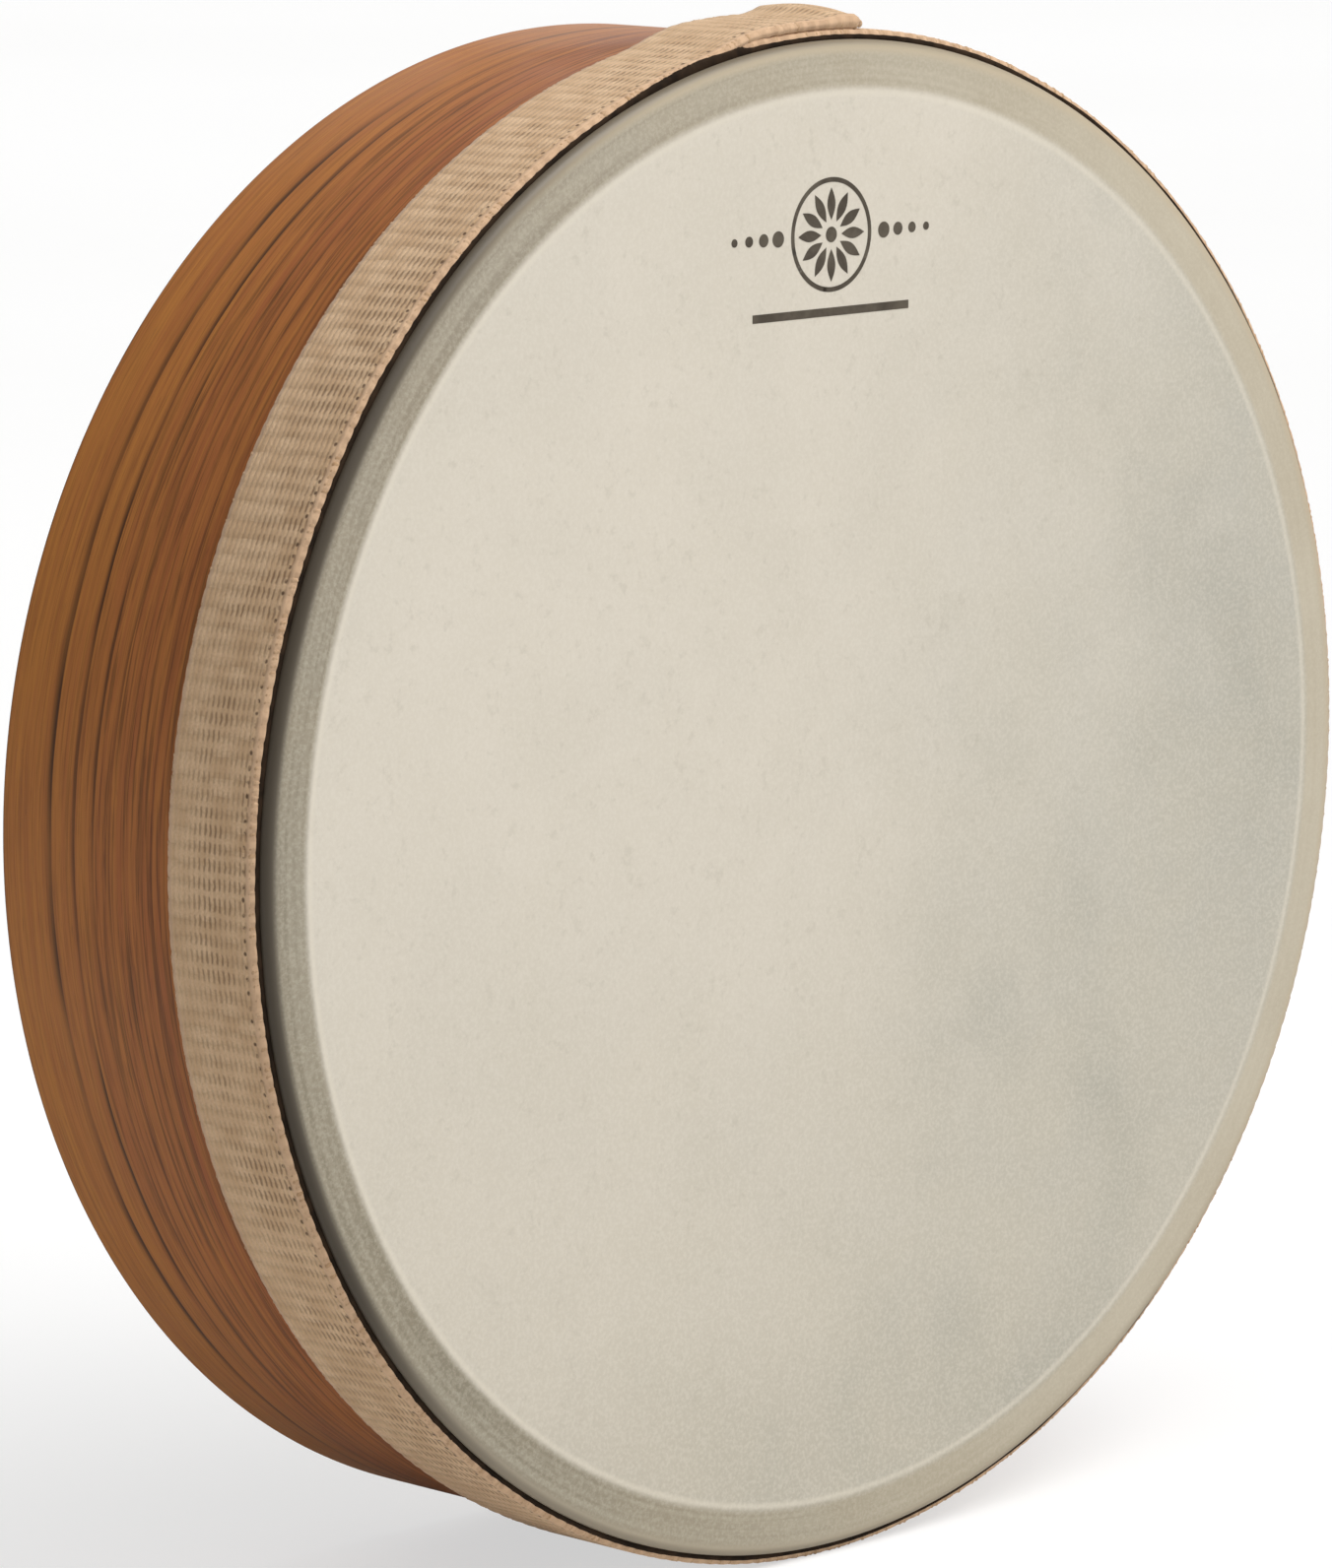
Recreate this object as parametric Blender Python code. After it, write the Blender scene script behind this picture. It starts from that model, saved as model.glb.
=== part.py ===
"""Frame drum: a shallow bent-ply hoop with a glued synthetic head and a webbing trim.

The drum stands upright on its rim. Its axis runs along Y, the head faces -Y and the open back
faces +Y. Sections are drawn as (radius, height), where height is measured from the back edge of
the hoop towards the head. Clock angles are seen from the front: 0 is the top, 90 is to the right.
"""
import math

import bmesh
import bpy

# Driving sizes, in metres
SHELL_RADIUS = 0.1270        # outside of the woodgrain face ply
SHELL_DEPTH = 0.0644         # from the back edge to the crest of the bearing edge
PLY_COUNT = 5                # the face ply is the outermost
PLY_THICKNESS = 0.0014
FACE_PLY_WIDTH = 0.0442      # the face ply stops where the skirt of the head begins
BOND_GAP = 0.0003            # room for the glue line between neighbouring pieces
FILM_THICKNESS = 0.0003
GLUE_THICKNESS = 0.0003
TAPE_THICKNESS = 0.0003
RIM_ROLL_RADIUS = 0.00075    # outside radius of the formed rim of the head
WEBBING_WIDTH = 0.0200
WEBBING_THICKNESS = 0.0012
LAP_LENGTH = 0.0280          # how far the end of the webbing lies over its start
LAP_CLIMB_LENGTH = 0.0220    # the run in which the webbing climbs on to its start
LAP_GAP = 0.0004

# Edges and slopes
BEARING_SLOPE = 0.08         # fall of the bearing edge towards the outside, per unit of radius
CREST_ROUND = 0.0004         # rounding of the bearing edge on its inner side
BACK_CHAMFER = 0.0004
SCARF_SLOPE = 6.0            # length of a ply's scarf joint, in ply thicknesses
SEAM_GAP = 0.0003
BEAD_HEIGHT = 0.00025
EDGE_SETBACK = 0.0005        # how far narrow hidden strips stay back from the edge above them

# Clock angles, in degrees
SEGMENTS = 72
STEP = 360.0 / SEGMENTS
FIRST_STATION = STEP / 2     # so that a flat facet faces straight down
PLY_SEAMS = (42.5, 257.5, 132.5, 312.5, 197.5)    # from the inner ply to the face ply
LAP_START = -9.0
ROLL_STEPS = 6

# Values that follow from the sizes above
PLY_PITCH = PLY_THICKNESS + BOND_GAP
SHELL_INNER_RADIUS = SHELL_RADIUS - PLY_COUNT * PLY_PITCH + BOND_GAP
CREST_RADIUS = SHELL_INNER_RADIUS + CREST_ROUND
BONDED_RADIUS = SHELL_RADIUS - PLY_PITCH          # outside of the ply that the head is glued to
GLUE_INNER = BONDED_RADIUS + BOND_GAP
SKIRT_INNER = GLUE_INNER + GLUE_THICKNESS + BOND_GAP
SKIRT_OUTER = SKIRT_INNER + FILM_THICKNESS
SKIRT_END = FACE_PLY_WIDTH + BOND_GAP
HEAD_HEIGHT = SHELL_DEPTH + BOND_GAP + FILM_THICKNESS
TAPE_INNER = SKIRT_OUTER + BOND_GAP
WEBBING_INNER = max(TAPE_INNER + TAPE_THICKNESS, SHELL_RADIUS) + BOND_GAP
WEBBING_OUTER = WEBBING_INNER + WEBBING_THICKNESS
ROLL_CENTRE_RADIUS = SKIRT_OUTER + FILM_THICKNESS / 2
ROLL_TOP = HEAD_HEIGHT - BEARING_SLOPE * (ROLL_CENTRE_RADIUS - CREST_RADIUS)
ROLL_CENTRE_HEIGHT = ROLL_TOP - RIM_ROLL_RADIUS
ROLL_BOTTOM = ROLL_CENTRE_HEIGHT - RIM_ROLL_RADIUS
WEBBING_FRONT = ROLL_BOTTOM - BOND_GAP
WEBBING_BACK = WEBBING_FRONT - WEBBING_WIDTH
CENTRE_HEIGHT = WEBBING_OUTER * math.cos(math.radians(STEP / 2))

WOOD_FACE = ((0.42, 0.21, 0.10, 1.0), 0.42)
WOOD_INNER = ((0.30, 0.19, 0.11, 1.0), 0.65)
FILM = ((0.72, 0.68, 0.60, 1.0), 0.38)
WEBBING = ((0.58, 0.47, 0.33, 1.0), 0.85)
DARK_GLUE = ((0.03, 0.025, 0.02, 1.0), 0.55)
CLEAR_GLUE = ((0.45, 0.36, 0.22, 1.0), 0.35)


def clear_scene():
    for obj in list(bpy.data.objects):
        bpy.data.objects.remove(obj, do_unlink=True)


def make_material(name, finish):
    colour, roughness = finish
    material = bpy.data.materials.new(name)
    material.use_nodes = True
    shader = material.node_tree.nodes["Principled BSDF"]
    shader.inputs["Base Color"].default_value = colour
    shader.inputs["Roughness"].default_value = roughness
    shader.inputs["Metallic"].default_value = 0.0
    return material


def make_axis():
    """An empty on the drum's axis, in the plane of the back edge."""
    axis = bpy.data.objects.new("drum_axis", None)
    axis.location = (0.0, HEAD_HEIGHT / 2, CENTRE_HEIGHT)
    bpy.context.scene.collection.objects.link(axis)
    return axis


def place(radius, height, clock):
    angle = math.radians(clock)
    return radius * math.sin(angle), -height, radius * math.cos(angle)


def add_piece(name, mesh_data, finish, axis):
    bmesh.ops.recalc_face_normals(mesh_data, faces=mesh_data.faces[:])
    mesh = bpy.data.meshes.new(name)
    mesh_data.to_mesh(mesh)
    mesh_data.free()
    mesh.shade_smooth()
    mesh.set_sharp_from_angle(angle=math.radians(30))
    mesh.materials.append(make_material(name, finish))
    piece = bpy.data.objects.new(name, mesh)
    piece.parent = axis
    bpy.context.scene.collection.objects.link(piece)
    return piece


def skin(mesh_data, loops, closed):
    """Joins neighbouring cross-sections with faces, and caps the two ends of an open strip."""
    count = len(loops[0])
    pairs = list(zip(loops, loops[1:]))
    if closed:
        pairs.append((loops[-1], loops[0]))
    for first, second in pairs:
        for i in range(count):
            j = (i + 1) % count
            mesh_data.faces.new((first[i], first[j], second[j], second[i]))
    if not closed:
        mesh_data.faces.new(loops[0])
        mesh_data.faces.new(loops[-1][::-1])


def full_ring(name, section, finish, axis):
    """A ring with no seam, turned from a closed section."""
    mesh_data = bmesh.new()
    loops = []
    for k in range(SEGMENTS):
        clock = FIRST_STATION + k * STEP
        loops.append([mesh_data.verts.new(place(r, h, clock)) for r, h in section])
    skin(mesh_data, loops, closed=True)
    return add_piece(name, mesh_data, finish, axis)


def bent_ply(name, section, seam, finish, axis):
    """A strip bent round into a hoop, whose two ends meet in a scarf joint."""
    inner = min(r for r, _ in section)
    outer = max(r for r, _ in section)
    scarf = math.degrees(SCARF_SLOPE * (outer - inner) / outer)
    seam_gap = math.degrees(SEAM_GAP / inner)
    stride = (360.0 - seam_gap) / SEGMENTS
    mesh_data = bmesh.new()
    loops = []
    for k in range(SEGMENTS + 1):
        clock = seam + seam_gap / 2 + k * stride
        loop = []
        for r, h in section:
            lag = scarf * (outer - r) / (outer - inner)
            loop.append(mesh_data.verts.new(place(r, h, clock + lag)))
        loops.append(loop)
    skin(mesh_data, loops, closed=False)
    return add_piece(name, mesh_data, finish, axis)


def bearing_height(radius):
    """The height of the bearing edge that the head rests on."""
    return SHELL_DEPTH - BEARING_SLOPE * max(0.0, radius - CREST_RADIUS)


def ply_section(index):
    """The section of one ply that reaches from the back edge to the bearing edge."""
    inner = SHELL_INNER_RADIUS + index * PLY_PITCH
    outer = inner + PLY_THICKNESS
    if index == 0:
        return [
            (inner, BACK_CHAMFER),
            (inner + BACK_CHAMFER, 0.0),
            (outer, 0.0),
            (outer, bearing_height(outer)),
            (CREST_RADIUS, SHELL_DEPTH),
            (inner + CREST_ROUND / 4, SHELL_DEPTH - CREST_ROUND / 4),
            (inner, SHELL_DEPTH - CREST_ROUND),
        ]
    if index == PLY_COUNT - 2:
        return [
            (inner, 0.0),
            (outer, 0.0),
            (outer, bearing_height(outer) - EDGE_SETBACK),
            (outer - EDGE_SETBACK, bearing_height(outer - EDGE_SETBACK)),
            (inner, bearing_height(inner)),
        ]
    return [(inner, 0.0), (outer, 0.0), (outer, bearing_height(outer)), (inner, bearing_height(inner))]


def make_shell(axis):
    names = ("shell_inner_ply", "shell_second_ply", "shell_third_ply", "shell_bonded_ply")
    for index, name in enumerate(names):
        bent_ply(name, ply_section(index), PLY_SEAMS[index], WOOD_INNER, axis)


def make_face_ply(axis):
    """The woodgrain ply outside, from the back edge to where the head's skirt begins."""
    inner = SHELL_RADIUS - PLY_THICKNESS
    section = [
        (inner, 0.0),
        (SHELL_RADIUS - BACK_CHAMFER, 0.0),
        (SHELL_RADIUS, BACK_CHAMFER),
        (SHELL_RADIUS, FACE_PLY_WIDTH),
        (inner, FACE_PLY_WIDTH),
    ]
    bent_ply("shell_face_ply", section, PLY_SEAMS[-1], WOOD_FACE, axis)


def head_side(inset):
    """One side of the head from beside the axis to the skirt's end; inset is 0 outside, or the film."""
    roll = RIM_ROLL_RADIUS - inset
    slope_end = BONDED_RADIUS
    fall = BEARING_SLOPE * (slope_end - CREST_RADIUS)
    points = [
        (CREST_RADIUS, HEAD_HEIGHT - inset),
        (slope_end, HEAD_HEIGHT - inset - fall),
    ]
    for k in range(ROLL_STEPS + 1):
        turn = math.pi * (0.5 - k / ROLL_STEPS)
        points.append((
            ROLL_CENTRE_RADIUS + roll * math.cos(turn),
            ROLL_CENTRE_HEIGHT + roll * math.sin(turn),
        ))
    skirt_radius = SKIRT_OUTER - inset
    points.append((skirt_radius, ROLL_BOTTOM - FILM_THICKNESS / 2))
    points.append((skirt_radius, SKIRT_END))
    return points


def make_head(axis):
    """The film head: playing surface, sloped collar, rolled rim and the skirt that is glued on."""
    outside = head_side(0.0)
    inside = head_side(FILM_THICKNESS)
    section = outside + inside[::-1]
    mesh_data = bmesh.new()
    front = mesh_data.verts.new((0.0, -HEAD_HEIGHT, 0.0))
    rear = mesh_data.verts.new((0.0, -(HEAD_HEIGHT - FILM_THICKNESS), 0.0))
    loops = []
    for k in range(SEGMENTS):
        clock = FIRST_STATION + k * STEP
        loops.append([mesh_data.verts.new(place(r, h, clock)) for r, h in section])
    for first, second in zip(loops, loops[1:] + loops[:1]):
        for i in range(len(section) - 1):
            mesh_data.faces.new((first[i], first[i + 1], second[i + 1], second[i]))
        mesh_data.faces.new((front, first[0], second[0]))
        mesh_data.faces.new((rear, second[-1], first[-1]))
    add_piece("drumhead_film", mesh_data, FILM, axis)


def band(inner, outer, low, high):
    return [(inner, low), (outer, low), (outer, high), (inner, high)]


def make_bonds(axis):
    """The glue that holds the head on, the tape behind the webbing, and the dark line at its edge."""
    glue_top = ROLL_BOTTOM - RIM_ROLL_RADIUS
    full_ring("head_glue_band", band(GLUE_INNER, GLUE_INNER + GLUE_THICKNESS, SKIRT_END, glue_top),
              CLEAR_GLUE, axis)
    tape_top = WEBBING_FRONT - EDGE_SETBACK
    full_ring("webbing_tape", band(TAPE_INNER, TAPE_INNER + TAPE_THICKNESS, SKIRT_END, tape_top),
              DARK_GLUE, axis)
    bead_low = WEBBING_FRONT + BOND_GAP
    bead_inner = ROLL_CENTRE_RADIUS + RIM_ROLL_RADIUS + BOND_GAP / 2
    bead_outer = max(WEBBING_OUTER - EDGE_SETBACK, bead_inner + EDGE_SETBACK)
    bead = [
        (bead_inner, bead_low),
        (bead_outer, bead_low),
        (bead_outer, bead_low + BEAD_HEIGHT),
        (bead_inner + BEAD_HEIGHT, bead_low + BEAD_HEIGHT),
    ]
    full_ring("edge_glue_line", bead, DARK_GLUE, axis)


def webbing_rise(clock, lap_end):
    """How far the webbing has climbed above its first turn at this clock angle."""
    climb = math.degrees(LAP_CLIMB_LENGTH / WEBBING_OUTER)
    climb_end = LAP_START + 360.0 - STEP / 2
    share = min(1.0, max(0.0, (clock - climb_end + climb) / climb))
    smooth = share * share * (3.0 - 2.0 * share)
    return smooth * (WEBBING_THICKNESS + LAP_GAP) if clock < lap_end + STEP else 0.0


def make_webbing(axis):
    """One strip of webbing, once round the rim, with its end lapped over its start at the top."""
    lap_end = LAP_START + 360.0 + math.degrees(LAP_LENGTH / WEBBING_OUTER)
    grid = [FIRST_STATION + k * STEP for k in range(-SEGMENTS, 2 * SEGMENTS)]
    inside = [a for a in grid if LAP_START + 1.0 < a < lap_end - 1.0]
    mesh_data = bmesh.new()
    loops = []
    for clock in [LAP_START, *inside, lap_end]:
        rise = webbing_rise(clock, lap_end)
        section = band(WEBBING_INNER + rise, WEBBING_OUTER + rise, WEBBING_BACK, WEBBING_FRONT)
        loops.append([mesh_data.verts.new(place(r, h, clock)) for r, h in section])
    skin(mesh_data, loops, closed=False)
    add_piece("trim_webbing", mesh_data, WEBBING, axis)


def main():
    clear_scene()
    axis = make_axis()
    make_shell(axis)
    make_face_ply(axis)
    make_head(axis)
    make_bonds(axis)
    make_webbing(axis)


main()
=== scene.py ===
"""Looks of a frame drum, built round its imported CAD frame.

The drum stands on its rim. Its axis runs along Y, the head faces -Y and the open back faces +Y.
Sections are (radius, height), where height is measured from the back edge towards the head.
Clock angles are seen from the front: 0 is the top, 90 is to the right. Sizes are in metres.
"""
import math

import bmesh
import bpy
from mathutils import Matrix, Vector, noise


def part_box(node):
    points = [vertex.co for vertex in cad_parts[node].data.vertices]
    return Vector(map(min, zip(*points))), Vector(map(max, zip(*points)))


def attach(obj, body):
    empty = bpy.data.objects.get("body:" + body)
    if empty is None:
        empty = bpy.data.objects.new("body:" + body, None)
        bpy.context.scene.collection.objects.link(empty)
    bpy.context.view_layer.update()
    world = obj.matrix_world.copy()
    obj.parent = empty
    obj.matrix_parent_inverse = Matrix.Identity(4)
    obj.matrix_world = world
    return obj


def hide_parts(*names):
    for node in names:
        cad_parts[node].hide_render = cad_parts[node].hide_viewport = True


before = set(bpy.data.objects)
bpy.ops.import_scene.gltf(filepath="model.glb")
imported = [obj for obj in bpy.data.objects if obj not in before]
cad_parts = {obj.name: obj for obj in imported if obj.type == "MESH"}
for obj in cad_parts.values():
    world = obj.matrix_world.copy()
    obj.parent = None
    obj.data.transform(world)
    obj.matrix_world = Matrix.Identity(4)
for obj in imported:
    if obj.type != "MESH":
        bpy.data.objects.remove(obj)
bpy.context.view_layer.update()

# The drum's axis and back edge, from the frame
FACE_LOW, FACE_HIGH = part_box("shell_face_ply")
AXIS_X = (FACE_LOW.x + FACE_HIGH.x) / 2
AXIS_Z = (FACE_LOW.z + FACE_HIGH.z) / 2
BACK_Y = FACE_HIGH.y


def ring_sizes(node):
    """Inner radius, outer radius, lowest and highest section height of a ring-shaped node."""
    corners = [vertex.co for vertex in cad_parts[node].data.vertices]
    radii = [math.hypot(corner.x - AXIS_X, corner.z - AXIS_Z) for corner in corners]
    heights = [BACK_Y - corner.y for corner in corners]
    return min(radii), max(radii), min(heights), max(heights)


PLY_NODES = (
    "shell_inner_ply",
    "shell_second_ply",
    "shell_third_ply",
    "shell_bonded_ply",
    "shell_face_ply",
)
PLY_SLOTS = ("inner_ply", "hoop_ply", "hoop_ply", "hoop_ply", "woodgrain")
PLY_SEAMS = (42.5, 257.5, 132.5, 312.5, 197.5)    # clock angle of each ply's joint
PLY_RINGS = [ring_sizes(node) for node in PLY_NODES]
SHELL_RADIUS = PLY_RINGS[4][1]
CREST_ROUNDING = 0.0004
CREST_RADIUS = PLY_RINGS[0][0] + CREST_ROUNDING
BEARING_TOP = PLY_RINGS[0][3]

# Hoop
PLY_GAP = 0.0003             # gap between two plies in the frame
PLY_CLEARANCE = 0.00002      # what is left of it here, where the glue fills it
SEAM_WIDTH = 0.00018
SEAM_SLOPE = 5.0             # length of a ply's slanted joint, in ply thicknesses
EDGE_ROUNDING = 0.0007       # sanded outer and inner corners of the back edge
PLY_EASING = 0.00012
BEARING_SLOPE = 0.08
FIRST_GROWTH_LINE = 0.0122   # height of the first dark line of the face ply's grain
LINE_WANDER = 0.60           # how far growth lines stray, in line spacings
LINE_FLUTTER = 0.16
LINE_WANDER_MEAN = (LINE_WANDER + LINE_FLUTTER) / 2
# Noise along and across the grain, per metre, with its detail, roughness and distortion
GRAIN = {
    "wander": (7.0, 22.0, 1.0, 0.4, 0.0),
    "flutter": (38.0, 90.0, 2.0, 0.5, 0.0),
    "bands": (4.0, 75.0, 3.0, 0.55, 0.4),
    "streaks": (22.0, 720.0, 4.0, 0.65, 0.3),
    "dark streaks": (34.0, 1150.0, 4.0, 0.65, 0.3),
    "fibres": (60.0, 3600.0, 3.0, 0.65, 0.0),
    "pores": (170.0, 4200.0, 2.0, 0.5, 0.0),
}
DENSE_GRAIN = (0.010, 0.026)     # heights between which the streaks grow close
STREAK_FADE = 0.30               # share of the streaks that is left below them
# Noise values between which each effect comes in
GRAIN_RANGES = {
    "bands": (0.32, 0.68),
    "streaks": (0.33, 0.67),
    "dark streaks": (0.48, 0.62),
    "fibres": (0.45, 0.75),
    "pores": (0.64, 0.72),
    "breaks": (0.34, 0.62, 0.3, 1.0),
}
# How much of the deeper colour each effect brings
GRAIN_SHARES = {
    "bands": 0.22,
    "streaks": 0.42,
    "dense": 0.36,
    "dark streaks": 0.54,
    "fibres": 0.36,
    "pores": 0.38,
    "soft line": 0.30,
    "crisp line": 0.9,
}
GRAIN_DEPTHS = {"fibres": -0.35, "lines": -0.4, "pores": -0.5}
LINE_BREAKS = (12.0, 1.7)        # how closely growth lines fade in and out, along and across
LATE_WOOD = (0.74, 0.965)        # part of a growth line's spacing that is dark
LATE_WOOD_SOFT = (0.62, 0.97)
LATE_WOOD_END = (1.0, 0.975)
FAINT_LINES = (1.4, 4.5, 1.0, 0.58)    # lines between which, and shares to which, they fade
RING_STEPS = 360
CORNER_STEPS = 5
HOLD_SHARE = 0.25            # how far beyond a rounding its held point sits

# Head
_, FILM_RIM, FILM_LOW, FILM_TOP = ring_sizes("drumhead_film")
FILM_THICKNESS = 0.0003
SKIRT_RADIUS = ring_sizes("head_glue_band")[1] + 2 * FILM_THICKNESS
ROLL_RADIUS = 0.0016         # formed shoulder of the head
TUCK_RADIUS = 0.0005         # where the shoulder turns in towards the skirt
TUCK_TURN = 80.0
TUCK_DROP = 0.0006
ROLL_STEPS = 14
TUCK_STEPS = 6
CREST_STEPS = 6
FILM_RINGS = 8
CREST_SPREAD = 0.0012        # run in which the film bends over the bearing edge
# Radii between which the collar, the painted highlight on the crest and the painted shade beside the glue
# come in: first three from the crest, last from the rim inwards
COLLAR_STARTS = (-0.0005, 0.0012)
CREST_HIGHLIGHT_GROWS = (-0.0014, -0.0005)
CREST_HIGHLIGHT_FADES = (0.0004, -0.0005)
GLUE_SHADE_GROWS = (0.0016, 0.0002)
SHOULDER_GROWS = (1.7, 0.6)      # from the rim inwards, in roll radii
RING_FINENESS = 900.0            # rings per metre in the collar's faint pattern
CLOUDS_WIDE = {"Cloud Scale": 11.0, "Tooth Scale": 420.0}
CLOUDS_CLOSE = {"Cloud Scale": 42.0, "Tooth Scale": 1500.0}
BLOTCH_SCALE = 26.0

# Webbing
WEBBING_INNER, _, WEBBING_LOW, WEBBING_HIGH = ring_sizes("trim_webbing")
WEBBING_WIDTH = WEBBING_HIGH - WEBBING_LOW
WEBBING_THICKNESS = 0.0016
LAP_START = -9.0             # clock angle of the strap's lower end
LAP_END = 3.45               # clock angle of its upper end
CLIMB = (-13.5, -6.5)        # where the strap climbs on to its own start
LAYER_GAP = 0.00012
HEM_LENGTH = 0.0090          # the doubled, pressed hem at the upper end
HEM_SWELL = 0.0007
HEM_CROWN = 0.0011           # how far the middle of the hem stands proud of its edges
END_ROUNDING = 0.0012
PATH_STEP = 0.0006
SAMPLE_STEP = 0.00052
EDGE_STEPS = 4
FLAT_STEPS = 12
RIB_PITCH = 0.0029
RIB_RELIEF = 0.14            # share of half the thickness that a rib rises
RIB_SCALLOP = 0.012
RIB_DRIFT = (90.0, 0.9)      # slow and quick wander of the ribs: noise scale, and share of a rib
RIB_WOBBLE = (260.0, 0.32)
RIB_SLANT = 9.0              # ribs that a metre across the strap shifts them by
RIB_FULLNESS = 0.6           # under 1 makes a rib's crest broad
RIB_UNEVENNESS = (37.0, 0.6, 0.7)    # noise scale, how much a rib's height varies, least height
FULL_HEM = 0.35              # share of the hem by which it has reached its thickness
LOWER_HEM = 0.55             # swell of the lower end, as a share of the upper one's
CROWN_SHIFT = 0.25           # how far off the middle of the strap the hem's crown sits
YARN_PITCH = 0.00120
PALE_EDGE = (0.0017, 0.0007)    # how far in from its edge the webbing turns pale
PALE_EDGE_SHARE = 0.6
YARN_WANDER = 0.0006
WEAVE_WOBBLE = 700.0         # noise scales, per metre
WEAVE_FLECK = 1900.0
WEAVE_CLOUDS = {"Cloud Scale": 60.0, "Tooth Scale": 1200.0}
RIB_TONES = (60.0, 3.1)      # how closely a rib's tone changes across the strap and from rib to rib
# Ranges of the value that drives each effect, with the shares there
WEAVE_RANGES = {
    "gap between yarns": (0.88, 0.30),
    "groove between ribs": (0.85, 0.10),
    "groove breaks": (0.38, 0.62, 0.35, 1.0),
    "dash on a rib": (0.99, 0.74, 0.12, 1.0),
    "rib tone": (0.3, 0.7, 0.0, 0.55),
    "fleck": (0.38, 0.68, 0.0, 0.50),
    "uneven dash shade": (0.25, 0.75, 0.25, 0.62),
    "hole": (1.15, 0.45),
    "hole depth": (0.38, 0.55, 0.25, 1.0),
}
# The dashes between yarns and the groove colour between ribs are painted shade
DASHED_PART = (0.40, -0.05)  # places across, in widths, between which the dashes come in
GROOVE_SHADE_SHARE = 0.16
HOLE_SHARE = 0.85
# How much each effect raises the cloth
WEAVE_RELIEF = {"yarns": 0.7, "ribs": 0.3, "flecks": 0.45, "holes": -0.8}
HOLE_INSET = 0.0017          # row of small holes beside the front edge
HOLE_PITCH = 0.0021
HOLE_SIZE = 0.00042
LOOP_PITCH = 0.00115
LOOP_SIZE = (0.00072, 0.00052, 0.00084)    # half lengths along, across and out
LOOP_TILT = 34.0
LOOP_SPREAD = (0.82, 1.14)   # smallest and largest loop, as shares of the size

# Dark line of glue round the edge of the webbing, near-black also as painted shade in the gap there
BEAD_STEPS = 720
BEAD_UNEVEN = 0.00012
BEAD_LUMPS = 9.0             # lumps in the bead per drum radius
BEAD_WIDTH = 0.0009
BEAD_EXTRA = 0.0006          # how much wider it is where the webbing climbs
BEAD_WIDENS = (-26.0, -12.0)     # clock angles between which it grows wide
BEAD_NARROWS = (-9.5, -8.0)
BEAD_DEPTH = 0.0011
BEAD_RISE = 0.0002
BEAD_TUCK = 0.0003           # how far it reaches in under the webbing

# Printed ornament
ORNAMENT_CENTRE = (-0.0016, 0.0955)    # right of and above the drum's axis
ROSETTE_RADIUS = 0.0095
RING_SIDES = 72
INK_LINE = 0.0008
INK_THICKNESS = 0.00003
INK_GAP = 0.00001
PETALS = 12
PETAL_START = 0.0024
PETAL_SIZE = (0.0054, 0.0019)
PETAL_STEPS = 10
HEART_RADIUS = 0.0013
DISC_SIDES = 32
DOT_SIZES = (0.00135, 0.0011, 0.0009, 0.0007)
DOT_START = 0.0125
DOT_PITCH = 0.0034
BAR_SIZE = (0.0370, 0.0014)
BAR_DROP = 0.0135

# Camera and light
CAMERA_AZIMUTH = -44.03
CAMERA_ELEVATION = 8.96
CAMERA_DISTANCE = 1.4201
CAMERA_AIM = (0.0122, -0.0028)         # how far it aims right of and above the hoop's centre
CAMERA_LENS = 188.84
FLOOR_SIZE = 30.0
# What the floor throws back on to the drum, its two tones as the camera sees them, and its glow
FLOOR_BOUNCE = (0.75, 0.75, 0.74, 1.0)
FLOOR_SEEN = (0.40, 0.40, 0.40, 1.0)
FLOOR_SEEN_DEEP = (0.385, 0.385, 0.383, 1.0)
FLOOR_GLOW = (0.60, 0.60, 0.60, 1.0)
WHITE = (1.0, 1.0, 1.0)
# Name, azimuth, elevation, strength, softness and colour
SUNS = (
    ("key_light", 35.0, 50.0, 1.7, 50.0, (1.0, 0.99, 0.97)),
    ("top_light", -45.0, 66.0, 0.95, 60.0, WHITE),
    ("rim_light", 140.0, 20.0, 0.5, 50.0, WHITE),
)
SOFTBOX_PLACE = (0.10, -0.55, 0.95)
SOFTBOX_SIZE = 0.45
SOFTBOX_POWER = 3.0
ROOM_LIGHT = 0.18


def rgb(red, green, blue):
    """A linear colour from the 0 to 255 values that a colour chart gives."""
    linear = []
    for value in (red, green, blue):
        share = value / 255
        linear.append(share / 12.92 if share <= 0.04045 else ((share + 0.055) / 1.055) ** 2.4)
    return (*linear, 1.0)


def place(radius, height, clock):
    angle = math.radians(clock)
    return (
        AXIS_X + radius * math.sin(angle),
        BACK_Y - height,
        AXIS_Z + radius * math.cos(angle),
    )


def smooth_step(value, low, high):
    share = min(1.0, max(0.0, (value - low) / (high - low)))
    return share * share * (3 - 2 * share)


PALE_YARN = rgb(206, 172, 142)
HOLE_SHADE = rgb(74, 52, 36)
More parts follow.
